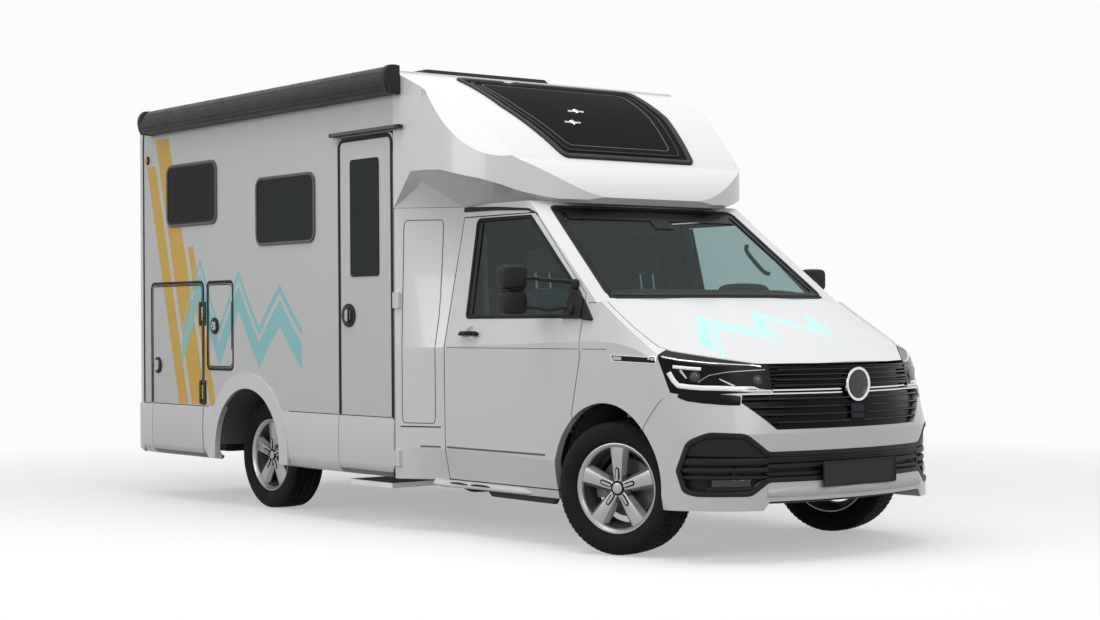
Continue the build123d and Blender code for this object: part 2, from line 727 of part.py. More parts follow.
def make_hatch_door():
    leaf = rect_y(HATCH, 0, -BOX_HALF, -INNER_Y, 25)
    leaf -= barrels(HATCH_AXIS_X, DOOR_BARREL_Z["hatch"], SEAT)
    handle = side_prism([(-1802, 1160), (-1752, 1160), (-1752, 1214), (-1802, 1214)], -BOX_HALF - 14, -BOX_HALF + 2, 12)
    return leaf + handle


def make_rear_wall():
    outer = [(REAR_RETURN, -BOX_HALF), (REAR_RETURN, BOX_HALF), (BOX_REAR, BOX_HALF), (BOX_REAR, -BOX_HALF)]
    form = plan_prism(outer, SKIRT_TOP, ROOF_LOW)
    corner_edges = form.edges().filter_by(Axis.Z).group_by(Axis.X)[0]
    form = fillet(corner_edges, CORNER_R)
    return form - block(BOX_REAR + WALL, REAR_RETURN + 10, -INNER_Y, INNER_Y, 500, 2700)


HATCH_FRAME = (-850, -168, 500)             # roof hatch: x0, x1, half width
HATCH_BASE_Z = ROOF_Z + 38


def make_roof_panel():
    roof = block(BOX_REAR, BOX_FRONT, -BOX_HALF, BOX_HALF, ROOF_LOW, ROOF_Z)
    roof = fillet(roof.edges().filter_by(Axis.Z).group_by(Axis.X)[0], CORNER_R)
    roof = chamfer(roof.edges().filter_by(Axis.X).group_by(Axis.Z)[-1], 14)
    x0, x1, half = HATCH_FRAME
    hole = block(x0 + 60, x1 - 60, -half + 60, half - 60, ROOF_LOW - 10, ROOF_Z + 10)
    rim = block(x0, x1, -half, half, ROOF_Z - 2, HATCH_BASE_Z)
    roof += fillet(rim.edges().filter_by(Axis.Z), 45)
    roof -= hole + block(x0 + 60, x1 - 60, -half + 60, half - 60, ROOF_Z - 5, HATCH_BASE_Z + 5)
    x, z = ROOF_HATCH_AXIS
    for y in (-300, 300):
        roof += block(x - 4, x + 5, y - 40, y + 40, HATCH_BASE_Z - 20, z)
    return roof + roof_hatch_barrels(0)


ROOF_HATCH_AXIS = (HATCH_FRAME[1] + 4, HATCH_BASE_Z + GAP + 4)     # x, z


def make_roof_hatch():
    x0, x1, half = HATCH_FRAME
    z0 = HATCH_BASE_Z + GAP
    lid = block(x0, x1, -half, half, z0, z0 + 62)
    lid = fillet(lid.edges().filter_by(Axis.Z), 45)
    lid = chamfer(lid.faces().sort_by(Axis.Z)[-1].edges(), 28)
    room = block(x0 + 14, x1 - 14, -half + 14, half - 14, z0 - 1, z0 + 22)
    lid = lid - room
    return lid - roof_hatch_barrels(SEAT)


def roof_hatch_barrels(extra):
    x, z = ROOF_HATCH_AXIS
    return joined(*[rod_y(x, y - 40 - extra, y + 40 + extra, z, 6 + extra) for y in (-300, 300)])


FAIRING_TOP = 1862
FAIRING_FRONT = DOOR_REAR - GAP - 6


def make_fairing(side):
    """Moulded panel from the cab's rear edge out to the living box."""
    def section(z, front_y):
        return Pos(0, 0, z) * outline([(BOX_FRONT, -BOX_HALF), (FAIRING_FRONT, front_y),
                                       (FAIRING_FRONT, front_y + 30), (BOX_FRONT, -BOX_HALF + WALL)])
    top = FAIRING_TOP - 2
    low = loft([section(SKIRT_LOW, -SIDE_FOOT_Y), section(SIDE_KNEE[1], -SIDE_KNEE[0])], ruled=True)
    mid = loft([section(SIDE_KNEE[1], -SIDE_KNEE[0]), section(CREASE_Z, -CAB_HALF)], ruled=True)
    high = loft([section(CREASE_Z, -CAB_HALF), section(top, -side_y(top))], ruled=True)
    panel = low + mid + high
    panel = (panel - cab_form(0)) - cap_form(0)
    panel -= block(BOX_FRONT - 1, BOX_FRONT + 3, -1200, -900, 0, 3000)
    if side > 0:
        return mirror_y(panel)
    leaves = joined(*[block(BOX_FRONT + 3, BOX_FRONT + 40, DOOR_AXIS_Y + 2, DOOR_AXIS_Y + 22,
                            z - BARREL_HALF, z + BARREL_HALF) for z in DOOR_BARREL_Z["entry"][:2]])
    return panel + leaves + barrels(ENTRY_AXIS_X, DOOR_BARREL_Z["entry"][:2])


def make_fairings():
    return joined(make_fairing(-1), make_fairing(1))


def make_awning():
    section = make_face([
        Line((-1086, 2516), (-1086, 2676)),
        Line((-1086, 2676), (-1120, 2680)),
        ThreePointArc((-1120, 2680), (-1188, 2610), (-1170, 2520)),
        Line((-1170, 2520), (-1086, 2516)),
    ])
    x0 = -2668
    x1 = 412
    plane = Plane(origin=(x0, 0, 0), x_dir=(0, 1, 0), z_dir=(1, 0, 0))
    case = extrude(plane * section, amount=x1 - x0)
    brackets = joined(*[block(x, x + 120, -1090, -BOX_HALF, 2560, 2620) for x in (-2500, -1300, -100)])
    return case + brackets


def make_gutter_bar():
    bar = block(-294, BOX_FRONT + 98, -1122, -BOX_HALF, 2315, 2338)
    return fillet(bar.edges().filter_by(Axis.X), 6)


def make_skirt_right():
    rear = skirt_form(REAR_RETURN, GARAGE_DOOR[0] - GAP)
    middle = skirt_form(GARAGE_DOOR[1] + GAP + 8, ENTRY_DOOR[0] - GAP)
    return joined(rear, middle - arch_opening(REAR_ARCH_R, -1200, -1000))


def make_arch_flares():
    """Raised lips round the rear wheel arches, proud of the wall and the skirt."""
    ring = rod_y(REAR_ARCH_X, -BOX_HALF - 14, -BOX_HALF, ARCH_Z, FLARE_R)
    ring -= rod_y(REAR_ARCH_X, -1200, -1000, ARCH_Z, REAR_ARCH_R)
    ring &= block(-3000, 0, -1200, -1000, SKIRT_LOW + 12, 1000)
    ring -= block(REAR_ARCH_X - REAR_ARCH_R, REAR_ARCH_X + REAR_ARCH_R, -1200, -1000, 200, ARCH_Z)
    ring -= skirt_form(REAR_ARCH_X - FLARE_R - 50, REAR_ARCH_X + FLARE_R + 50)
    return both(ring)


def make_skirt_left():
    return mirror_y(skirt_form(REAR_RETURN, BOX_FRONT) - arch_opening(REAR_ARCH_R, -1200, -1000))


def make_rear_bumper():
    outer = plan_prism([(REAR_RETURN, -BOX_HALF), (REAR_RETURN, BOX_HALF), (-HALF_LENGTH, BOX_HALF),
                        (-HALF_LENGTH, -BOX_HALF)], SKIRT_LOW, SKIRT_TOP - 4)
    outer = fillet(outer.edges().filter_by(Axis.Z).group_by(Axis.X)[0], CORNER_R + 30)
    outer = chamfer(outer.faces().sort_by(Axis.Z)[0].edges().filter_by(Axis.Y), 30)
    inner = block(-HALF_LENGTH + 45, REAR_RETURN + 10, -INNER_Y, INNER_Y, 200, 700)
    return outer - inner


def make_rear_lamps():
    lamp = block(BOX_REAR - 22, BOX_REAR, -1000, -920, 760, 1120)
    lamp = fillet(lamp.edges().filter_by(Axis.X), 18)
    brake = block(BOX_REAR - 14, BOX_REAR, -160, 160, 2520, 2545)
    return joined(lamp, mirror_y(lamp), brake)


def make_entry_step():
    case = block(-257, 201, -1010, -640, 232, 262)
    hangers = joined(*[block(x, x + 40, -700, -430, 262, 300) + block(x, x + 40, -440, -400, 262, RAIL_LOW)
                       for x in (-200, 120)])
    return case + hangers


# ---------------------------------------------------------------- floor and chassis
RAIL_OUT = 440
RAIL_W = 60
RAIL_IN = RAIL_OUT - RAIL_W
RAIL_LOW = 395
RAIL_TOP = 535
FLOOR_LOW = FLOOR_TOP - FLOOR_T
CROSS_X = (-2780, -2100, -700, -60, 500)
CROSS_HALF = 840


def make_floor_pan():
    floor = block(BOX_REAR + WALL, BOX_FRONT + 250, -INNER_Y, INNER_Y, FLOOR_LOW, FLOOR_TOP)
    floor -= block(BOX_FRONT, 700, -1200, -880, 500, 700) + block(BOX_FRONT, 700, 880, 1200, 500, 700)
    inset = GAP + 2
    for x0, x1, *_ in (ENTRY_DOOR, GARAGE_DOOR):
        floor -= block(x0 - inset, x1 + inset, -1200, -INNER_Y + inset, 500, 700)
    liner = rod_y(REAR_ARCH_X, -INNER_Y, -640, ARCH_Z, REAR_ARCH_R + 12)
    liner -= rod_y(REAR_ARCH_X, -INNER_Y - 10, -650, ARCH_Z, REAR_ARCH_R + 4)
    liner &= block(-3000, 0, -1200, 0, ARCH_Z + 30, 1000)
    floor -= rod_y(REAR_ARCH_X, -1200, -640, ARCH_Z, REAR_ARCH_R + 8)
    floor -= rod_y(REAR_ARCH_X, 640, 1200, ARCH_Z, REAR_ARCH_R + 8)
    return floor + liner + mirror_y(liner)


def make_cab_floor():
    deck = block(645, 1560, -860, 860, 560, 600)
    riser = block(1520, 1560, -860, 860, SILL_Z + PANEL, 560)
    rear = block(645, 685, -860, 860, SILL_Z + PANEL, 560)
    return (deck + riser + rear) - rail_form() - pipe_room()


def rail_form():
    return joined(*[block(-2830, 2640, y0, y0 + RAIL_W, RAIL_LOW, RAIL_TOP) for y0 in (-RAIL_OUT, RAIL_IN)])


def make_chassis_frame():
    frame = rail_form()
    for x in CROSS_X:
        frame += block(x, x + 70, -CROSS_HALF, CROSS_HALF, RAIL_TOP - 10, FLOOR_LOW)
    beam = block(-2830, -2790, -RAIL_OUT, RAIL_OUT, RAIL_LOW, RAIL_TOP - 15)
    for y in (-TOW_Y / 2, TOW_Y / 2):
        for z in (TOW_Z_MID - TOW_Z / 2, TOW_Z_MID + TOW_Z / 2):
            beam -= rod_x(-2850, -2770, y, z, TOW_HOLE_R)
    return frame + beam


TOW_Y = 240
TOW_Z = 60
TOW_Z_MID = 460
TOW_HOLE_R = 6.5


def make_engine_block():
    block_form = block(2210, 2560, -330, 330, 430, 980)
    feet = joined(block(2330, 2430, -RAIL_IN, -330, 470, 530), block(2330, 2430, 330, RAIL_IN, 470, 530))
    return block_form + feet


def make_front_subframe():
    beam = block(FRONT_AXLE - 60, FRONT_AXLE + 60, -360, 360, 235, 295)
    for side in (-1, 1):
        y_in = side * 340
        beam += block(FRONT_AXLE - 45, FRONT_AXLE + 45, side * 350, side * 430, 235, RAIL_LOW)
        ball = (FRONT_AXLE, side * KINGPIN_Y, 0)
        beam += strut((FRONT_AXLE - 40, y_in, 265), (ball[0], side * (KINGPIN_Y - 24), ARM_Z), 20)
        beam += strut((FRONT_AXLE + 40, y_in, 265), (ball[0], side * (KINGPIN_Y - 24), ARM_Z), 20)
        beam += rod_z(ball[0], ball[1], ARM_Z - 22, ARM_Z + 22, 26)
        beam += rod_z(ball[0], ball[1], ARM_Z, KNUCKLE_LOW + 14, BALL_PIN_R)
    rack = rod_y(FRONT_AXLE - 88, -370, 370, 330, 20)
    rack += block(FRONT_AXLE - 90, FRONT_AXLE - 50, -30, 30, 262, 330)
    return beam + rack


ARM_Z = 208
KNUCKLE_LOW = 236
BALL_PIN_R = 11
STRUT_FOOT_Z = 735
STRUT_TOP_Z = 990


def make_front_struts():
    """Spring struts over the front wheels with the towers that carry them."""
    parts = []
    for side in (-1, 1):
        y = side * KINGPIN_Y
        leg = rod_z(FRONT_AXLE, y, STRUT_FOOT_Z + 2, STRUT_TOP_Z, 22)
        leg += rod_z(FRONT_AXLE, y, STRUT_FOOT_Z - 12, STRUT_FOOT_Z + 4, BALL_PIN_R)
        seat = rod_z(FRONT_AXLE, y, STRUT_FOOT_Z + 30, STRUT_FOOT_Z + 36, 56)
        coil = rod_z(FRONT_AXLE, y, STRUT_FOOT_Z + 36, STRUT_TOP_Z - 10, 46)
        top = block(FRONT_AXLE - 75, FRONT_AXLE + 75, side * 455, side * 830, STRUT_TOP_Z - 10, STRUT_TOP_Z + 6)
        wall = block(FRONT_AXLE - 75, FRONT_AXLE + 75, side * RAIL_OUT, side * (RAIL_OUT + 20), RAIL_LOW + 20,
                     STRUT_TOP_Z + 6)
        parts.append(leg + seat + coil + top + wall)
    return joined(*parts)


SPINDLE_R = 30
DISC_R = 152


def wheel_turn(side):
    """Turns a front wheel piece about its kingpin into the parked steering angle."""
    x = FRONT_AXLE
    y = side * KINGPIN_Y
    return Pos(x, y, 0) * Rot(0, 0, STEER_REST) * Pos(-x, -y, 0)


def make_knuckle(side):
    x = FRONT_AXLE
    s = side
    body = rod_y(x, s * 660, s * 735, TYRE_R, 62)
    body += rod_y(x, s * 735, s * (HALF_TRACK + 28), TYRE_R, SPINDLE_R)
    body += rod_y(x, s * 772, s * 796, TYRE_R, DISC_R)
    body += block(x - 30, x + 30, s * 700, s * 735, KNUCKLE_LOW, TYRE_R)
    body += rod_z(x, s * KINGPIN_Y, KNUCKLE_LOW, KNUCKLE_LOW + 40, 28)
    body += block(x - 26, x + 26, s * 650, s * 684, TYRE_R, 726)
    body += block(x - 26, x + 26, s * 650, s * KINGPIN_Y, 703, 726)
    body += rod_z(x, s * KINGPIN_Y, 703, 726, 30)
    body += block(x - 180, x - 105, s * 742, s * 812, TYRE_R - 60, TYRE_R + 60)
    body += block(x - 125, x, s * 700, s * 745, TYRE_R - 40, TYRE_R + 40)
    body -= rod_z(x, s * KINGPIN_Y, 200, KNUCKLE_LOW + 14 + SEAT, BALL_PIN_R + SEAT)
    body -= rod_z(x, s * KINGPIN_Y, STRUT_FOOT_Z - 12 - SEAT, 800, BALL_PIN_R + SEAT)
    return wheel_turn(side) * body


def make_rear_axle():
    x = REAR_AXLE
    axle = rod_y(x, -770, 770, TYRE_R, 38)
    for side in (-1, 1):
        axle += rod_y(x, side * 690, side * 735, TYRE_R, 60)
        axle += rod_y(x, side * 735, side * (HALF_TRACK + 28), TYRE_R, SPINDLE_R)
        axle += rod_y(x, side * 745, side * 773, TYRE_R, DISC_R - 10)
        axle += block(x - 160, x - 90, side * 720, side * 790, TYRE_R - 50, TYRE_R + 50)
        axle += block(x - 110, x, side * 690, side * 722, TYRE_R - 30, TYRE_R + 30)
        axle += strut((x, side * 560, TYRE_R + 10), (x + 420, side * 500, RAIL_LOW + 20), 28)
        axle += block(x + 380, x + 470, side * RAIL_OUT, side * 540, RAIL_LOW, RAIL_LOW + 60)
        axle += strut((x - 40, side * 600, TYRE_R + 20), (x - 90, side * 560, FLOOR_LOW - 20), 24)
        axle += block(x - 120, x - 60, side * 530, side * 590, FLOOR_LOW - 30, FLOOR_LOW)
    return axle


PIPE_R = 26
PIPE_Y = 270
PIPE_Z = 332


def make_exhaust():
    pipe = rod_x(-500, FIREWALL_X, PIPE_Y, PIPE_Z, PIPE_R)
    pipe += rod_x(-460, 160, PIPE_Y + 20, PIPE_Z + 12, 85)
    for x in (-60, 500):
        pipe += block(x + 25, x + 45, PIPE_Y - 12, PIPE_Y + 18, PIPE_Z + 16, RAIL_TOP - 10)
    return pipe


def pipe_room():
    return rod_x(640, FIREWALL_X, PIPE_Y, PIPE_Z, PIPE_R + 12)


def make_underfloor_tanks():
    fuel = block(700, 1450, -RAIL_OUT + 20, 180, 305, RAIL_LOW)
    fresh = fillet(block(-690, -100, -830, -460, 330, FLOOR_LOW - 70).edges().filter_by(Axis.Z), 40)
    waste = fillet(block(-2650, -2060, -830, -460, 330, FLOOR_LOW - 70).edges().filter_by(Axis.Z), 40)
    return joined(fuel, fresh, waste)


def make_tyre(x, y):
    half = TYRE_W / 2
    bead = RIM_W / 2 - 10 - SEAT
    crown = TYRE_R
    section = make_face([
        Line((RIM_R + SEAT, -bead), (RIM_R + SEAT, bead)),
        Line((RIM_R + SEAT, bead), (RIM_FLANGE_R + 1, bead)),
        Line((RIM_FLANGE_R + 1, bead), (RIM_FLANGE_R + 4, bead + 12)),
        ThreePointArc((RIM_FLANGE_R + 4, bead + 12), (RIM_R + 62, half), (crown - 22, half - 8)),
        ThreePointArc((crown - 22, half - 8), (crown - 9, half - 16), (crown - 3, half - 28)),
        ThreePointArc((crown - 3, half - 28), (crown, 0), (crown - 3, -half + 28)),
        ThreePointArc((crown - 3, -half + 28), (crown - 9, -half + 16), (crown - 22, -half + 8)),
        ThreePointArc((crown - 22, -half + 8), (RIM_R + 62, -half), (RIM_FLANGE_R + 4, -bead - 12)),
        Line((RIM_FLANGE_R + 4, -bead - 12), (RIM_FLANGE_R + 1, -bead)),
        Line((RIM_FLANGE_R + 1, -bead), (RIM_R + SEAT, -bead)),
    ])
    tyre = revolve(section, axis=Axis.Y)
    return Pos(x, y, TYRE_R) * tyre


SPOKES = 5
FACE_Y = 46                 # spoke face outside the wheel's middle plane
FACE_T = 30
HUB_R = 74


def make_rim(x, side):
    y = side * HALF_TRACK
    half = RIM_W / 2
    barrel = rod_y(0, -half, half, 0, RIM_R) - rod_y(0, -half - 5, half + 5, 0, RIM_R - 12)
    lips = rod_y(0, half - 10, half, 0, RIM_FLANGE_R) - rod_y(0, half - 20, half + 5, 0, RIM_R - 13)
    lips += rod_y(0, -half, -half + 10, 0, RIM_FLANGE_R) - rod_y(0, -half - 5, -half + 20, 0, RIM_R - 13)
    face = rod_y(0, FACE_Y, FACE_Y + FACE_T, 0, RIM_R - 8)
    for i in range(SPOKES):
        window = side_prism([(-22, HUB_R + 12), (-62, RIM_R - 26), (62, RIM_R - 26), (22, HUB_R + 12)],
                            FACE_Y - 10, FACE_Y + FACE_T + 10, 12)
        face -= Rot(0, 360 / SPOKES * (i + 0.5), 0) * window
    hub = rod_y(0, -16, FACE_Y + FACE_T + 4, 0, HUB_R)
    rim = barrel + lips + face + hub
    rim -= rod_y(0, -50, FACE_Y + FACE_T - 20, 0, SPINDLE_R + SEAT)
    if side < 0:
        rim = mirror_y(rim)
    return Pos(x, y, TYRE_R) * rim


def make_front_liners():
    x = FRONT_AXLE + 10
    inner_r = ARCH_R + LINER_ROOM
    liner = rod_y(x, -900, -ARCH_DEPTH_Y, ARCH_Z, inner_r + LINER_T)
    liner -= rod_y(x, -910, -ARCH_DEPTH_Y - LINER_T, ARCH_Z, inner_r)
    liner &= block(0, 3000, -1000, 0, ARCH_Z + 20, 1000)
    liner -= block(FRONT_AXLE - 77, FRONT_AXLE + 77, -1000, 0, ARCH_Z, 1000)
    liner -= block(1500, 1795, -1000, -866, 300, 1000)
    return both(liner & cab_form(PANEL))


# ---------------------------------------------------------------- pieces by node name
def make_left_cab_door():
    return mirror_y(make_cab_door())


def make_left_door_glass():
    return mirror_y(make_door_glass())


def make_left_mirror():
    return mirror_y(make_mirror())


def make_side_skirts():
    return joined(make_skirt_right(), make_skirt_left())


def make_floors():
    return joined(make_floor_pan(), make_cab_floor())


def make_front_suspension():
    return joined(make_front_subframe(), make_front_struts())


PIECES = {
    "cab_shell": make_cab_shell, "windscreen": make_windscreen, "hood": make_hood,
    "cab_door_right": make_cab_door, "door_glass_right": make_door_glass,
    "mirror_right": make_mirror, "cab_door_left": make_left_cab_door,
    "door_glass_left": make_left_door_glass, "mirror_left": make_left_mirror,
    "front_bumper": make_front_bumper, "headlamps": make_headlamps, "grille": make_grille,
    "lower_intake": make_lower_intake, "number_plates": make_number_plates,
    "dashboard": make_dashboard, "steering_wheel": make_steering_wheel,
    "cab_seats": make_cab_seats, "roof_cap": make_roof_cap, "skylight": make_skylight,
    "side_wall_right": make_side_wall_right, "side_wall_left": make_side_wall_left,
    "side_windows": make_side_windows, "entry_door": make_entry_door,
    "entry_door_window": make_entry_window, "garage_door": make_garage_door,
    "service_hatch": make_hatch_door, "rear_wall": make_rear_wall,
    "roof_panel": make_roof_panel, "roof_hatch": make_roof_hatch, "fairings": make_fairings,
    "awning": make_awning, "gutter_bar": make_gutter_bar, "side_skirts": make_side_skirts,
    "rear_bumper": make_rear_bumper, "rear_lamps": make_rear_lamps,
    "entry_step": make_entry_step, "floor": make_floors, "chassis_frame": make_chassis_frame,
    "arch_flares": make_arch_flares, "engine_block": make_engine_block,
    "front_suspension": make_front_suspension, "rear_axle": make_rear_axle,
    "exhaust": make_exhaust, "underfloor_tanks": make_underfloor_tanks,
    "front_liners": make_front_liners,
}
SIDES = {"right": -1, "left": 1}


def save(name, shape):
    export_step(shape, f"parts/{name}.step")


def save_running_gear():
    for name, side in SIDES.items():
        turn = wheel_turn(side)
        save(f"knuckle_{name}", make_knuckle(side))
        save(f"tyre_front_{name}", turn * make_tyre(FRONT_AXLE, side * HALF_TRACK))
        save(f"rim_front_{name}", turn * make_rim(FRONT_AXLE, side))
        save(f"tyre_rear_{name}", make_tyre(REAR_AXLE, side * HALF_TRACK))
        save(f"rim_rear_{name}", make_rim(REAR_AXLE, side))


if __name__ == "__main__":
    for name, maker in PIECES.items():
        save(name, maker())
    save_running_gear()
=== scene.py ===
import math

import bpy
import bmesh
from mathutils import Matrix, Vector
from mathutils.bvhtree import BVHTree

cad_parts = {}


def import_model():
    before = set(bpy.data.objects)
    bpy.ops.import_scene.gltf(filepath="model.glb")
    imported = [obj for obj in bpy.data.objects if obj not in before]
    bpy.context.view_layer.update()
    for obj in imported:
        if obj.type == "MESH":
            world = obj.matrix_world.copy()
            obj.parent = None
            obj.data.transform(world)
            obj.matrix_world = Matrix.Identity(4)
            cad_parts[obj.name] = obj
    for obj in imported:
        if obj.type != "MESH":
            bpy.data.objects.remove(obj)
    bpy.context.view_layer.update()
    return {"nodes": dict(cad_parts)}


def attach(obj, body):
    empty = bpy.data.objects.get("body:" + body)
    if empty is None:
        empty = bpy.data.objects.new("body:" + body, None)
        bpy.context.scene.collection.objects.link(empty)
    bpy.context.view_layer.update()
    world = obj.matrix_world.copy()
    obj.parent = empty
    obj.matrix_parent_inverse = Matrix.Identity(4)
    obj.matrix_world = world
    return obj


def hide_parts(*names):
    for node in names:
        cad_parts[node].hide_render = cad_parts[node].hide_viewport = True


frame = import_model()
nodes = frame["nodes"]

# ------------------------------------------------------------------ sizes read off the CAD part (m)
FRONT_AXLE = 2.032
REAR_AXLE = -1.368
HALF_TRACK = 0.815
TYRE_R = 0.345
STEER_REST = math.radians(18.7)
KINGPIN_Y = 0.735
SIDES = {"right": -1, "left": 1}
WALL_Y = 1.085              # outer faces of the side walls
SKIRT_TOP = 0.652
CREASE = 1.058              # fold along the cab's side


# ------------------------------------------------------------------ shader helpers
class Nodes:
    """Short calls for building one node tree."""

    def __init__(self, tree):
        self.n, self.l = tree.nodes, tree.links
        self.n.clear()

    def put(self, socket, value):
        if hasattr(value, "is_output"):
            self.l.new(value, socket)
        else:
            socket.default_value = value

    def node(self, kind, inputs=(), **settings):
        """New node with its settings, and its inputs given by number or name."""
        node = self.n.new("ShaderNode" + kind)
        for key, value in settings.items():
            setattr(node, key, value)
        for key, value in dict(inputs).items():
            self.put(node.inputs[key], value)
        return node

    def math(self, op, a, b=0.0):
        return self.node("Math", enumerate((a, b, 0.0)), operation=op).outputs[0]

    def span(self, value, lo, hi, a=0.0, b=1.0):
        return self.node("MapRange", enumerate((value, lo, hi, a, b))).outputs[0]

    def blend(self, share, first, second):
        """Two shaders mixed."""
        return self.node("MixShader", enumerate((share, first, second))).outputs[0]

    def seen_ray(self):
        """1 for camera, glossy and transmission rays, 0 for the diffuse light on the object."""
        path = self.node("LightPath").outputs
        total = path["Is Camera Ray"]
        for key in ("Is Glossy Ray", "Is Transmission Ray"):
            total = self.node("Math", {0: total, 1: path[key]}, operation="MAXIMUM").outputs[0]
        return total


class Mat(Nodes):
    """One procedural material, in the object's own coordinates."""

    def __init__(self, name):
        self.m = bpy.data.materials.new(name)
        self.m.use_nodes = True
        super().__init__(self.m.node_tree)
        self.p = self.node("BsdfPrincipled")
        self.out = self.node("OutputMaterial", {0: self.p.outputs[0]})
        self.coord = self.node("TexCoord").outputs
        self.pos = self.coord["Object"]

    def set(self, **values):
        for key, value in values.items():
            self.put(self.p.inputs[key.replace("_", " ").title().replace("Ior", "IOR")], value)
        return self

    def noise(self, scale, detail=3.0, stretch=None):
        coord = self.node("Mapping", {0: self.pos, "Scale": stretch}).outputs[0] if stretch else self.pos
        return self.node("TexNoise", {"Vector": coord, "Scale": scale, "Detail": detail}).outputs["Fac"]

    def wander(self, scale, a, b, stretch=None):
        """Slow change between two values."""
        return self.span(self.noise(scale, 3.0, stretch), 0.3, 0.7, a, b)

    def voronoi(self, scale):
        return self.node("TexVoronoi", {"Vector": self.pos, "Scale": scale}).outputs["Distance"]

    def mix(self, fac, a, b):
        a, b = ((*c, 1.0) if isinstance(c, tuple) else c for c in (a, b))
        return self.node("Mix", {"Factor": fac, 6: a, 7: b}, data_type="RGBA").outputs[2]

    def facing_in(self, heart):
        """1 on faces that look towards a point inside the shell."""
        away = self.node("VectorMath", {0: self.pos, 1: heart}, operation="SUBTRACT").outputs[0]
        dot = self.node("VectorMath", {0: away, 1: self.coord["Normal"]}, operation="DOT_PRODUCT")
        return self.math("LESS_THAN", dot.outputs["Value"], 0.0)

    def within(self, value, low, high):
        return self.math("MULTIPLY", self.math("GREATER_THAN", value, low), self.math("LESS_THAN", value, high))

    def xyz(self, vector=None):
        return self.node("SeparateXYZ", {0: vector or self.pos}).outputs

    def nearer_than(self, half):
        """1 closer to the middle plane than half."""
        return self.math("LESS_THAN", self.math("ABSOLUTE", self.xyz()[1]), half)

    def bump(self, height, strength):
        node = self.node("Bump", {"Strength": strength, "Distance": 0.001, "Height": height})
        for key in ("Normal", "Coat Normal"):
            self.put(self.p.inputs[key], node.outputs[0])
        return self


def scaled(color, share, plus=0.0):
    return tuple(c * share + plus for c in color)


WHITE = (0.63, 0.64, 0.65)
INNER_SHADE = (0.05, 0.05, 0.05)      # painted shade on the inner faces of the living box and the cab
DUST = (0.42, 0.41, 0.39)
GOLD = (0.59, 0.35, 0.023)
TEAL = (0.223, 0.515, 0.533)
CYAN = (0.42, 0.78, 0.81)
# columns: shear-line position at z 1.5 where a slanted bar starts and ends, lower end, upper end
GOLD_BARS = ((-2.52, -2.39, 0.66, 2.30), (-2.34, -2.14, 0.66, 2.48), (-2.09, -2.01, 0.66, 1.72))
BAR_SLOPE = 0.28
BAR_Z = 1.5                 # where a bar's place is read
RIDGE = (-2.24, -0.68)      # reach of the side walls' ridge in x
WALL_INNER_Y = 1.076        # faces nearer the middle than this get painted shade; the graphics end here, inside the wall
THREADS = 1400.0            # of the seat cloth, in radians a metre


def paint(name, color, rough=0.32, coat=0.45, dirt=0.12, marks=None, heart=None, lining=None):
    """Gloss paint: faint orange peel, slow tone change, road dust low down, marks and painted shade on the inner side
    on request.
    """
    s = Mat(name)
    patch = s.math("MULTIPLY", s.span(s.xyz()[2], 0.75, 0.25, 0.0, dirt), s.noise(3.0, 5.0))
    tone = s.mix(s.noise(0.7, 2.0), color, scaled(color, 0.965))
    if marks:
        tone = marks(s, tone)
    # painted shade: faces nearer the middle than lining, or facing the heart point, take the dark inner-shade colour
    if lining:
        tone = s.mix(s.nearer_than(lining), tone, INNER_SHADE)
    if heart:
        tone = s.mix(s.facing_in(heart), tone, INNER_SHADE)
    s.set(base_color=s.mix(patch, tone, DUST), roughness=s.wander(5.0, rough - 0.03, rough + 0.04),
          coat_weight=coat, coat_roughness=0.06)
    return s.bump(s.noise(420.0, 2.0), 0.03)


def ridge(s, tone, lines, gap, along, color):
    """A band of lines, each between two distances from a zigzag."""
    for low, high in lines:
        tone = s.mix(s.math("MULTIPLY", along, s.within(gap, low, high)), tone, color)
    return tone


def wall_marks(s, tone):
    """Generic side graphics: three slanted gold bars and a two-line teal ridge, on the outer face only; the inner faces
    get painted shade.
    """
    x, y, z = s.xyz()
    tone = s.mix(s.math("LESS_THAN", z, SKIRT_TOP), tone, WHITE)
    shear = s.math("ADD", x, s.math("MULTIPLY", s.math("SUBTRACT", z, BAR_Z), BAR_SLOPE))
    for x0, x1, z0, z1 in GOLD_BARS:
        tone = s.mix(s.math("MULTIPLY", s.within(shear, x0, x1), s.within(z, z0, z1)), tone, GOLD)
    rise = s.math("MULTIPLY", s.math("PINGPONG", s.math("ADD", x, -RIDGE[0]), 0.26), s.span(x, -2.2, -0.7, 1.95, 0.85))
    gap = s.math("SUBTRACT", z, s.math("ADD", rise, 1.0))
    tone = ridge(s, tone, ((-0.085, 0.080), (0.125, 0.180)), gap, s.within(x, *RIDGE), TEAL)
    # painted shade on the wall's inner faces
    return s.mix(s.nearer_than(WALL_INNER_Y), tone, INNER_SHADE)


def hood_marks(s, tone):
    """Generic ridge line across the bonnet's upper side."""
    x, y, _ = s.xyz()
    rise = s.math("MULTIPLY", s.math("PINGPONG", s.math("ADD", y, 0.66), 0.20), -1.25)
    gap = s.math("SUBTRACT", x, s.math("ADD", rise, 2.52))
    outside = s.math("GREATER_THAN", s.xyz(s.coord["Normal"])[2], 0.0)
    along = s.math("MULTIPLY", s.within(y, -0.66, 0.34), outside)
    return ridge(s, tone, ((-0.055, 0.055), (0.085, 0.115)), gap, along, CYAN)


def plastic(name, color, rough=0.5, grain=900.0, strength=0.12, shine=0.18):
    """Moulded plastic with a fine leather-like grain."""
    s = Mat(name)
    s.set(specular_ior_level=shine, base_color=s.mix(s.noise(6.0), color, scaled(color, 1.35, 0.004)),
          roughness=s.wander(14.0, rough - 0.06, rough + 0.06))
    return s.bump(s.voronoi(grain), strength)


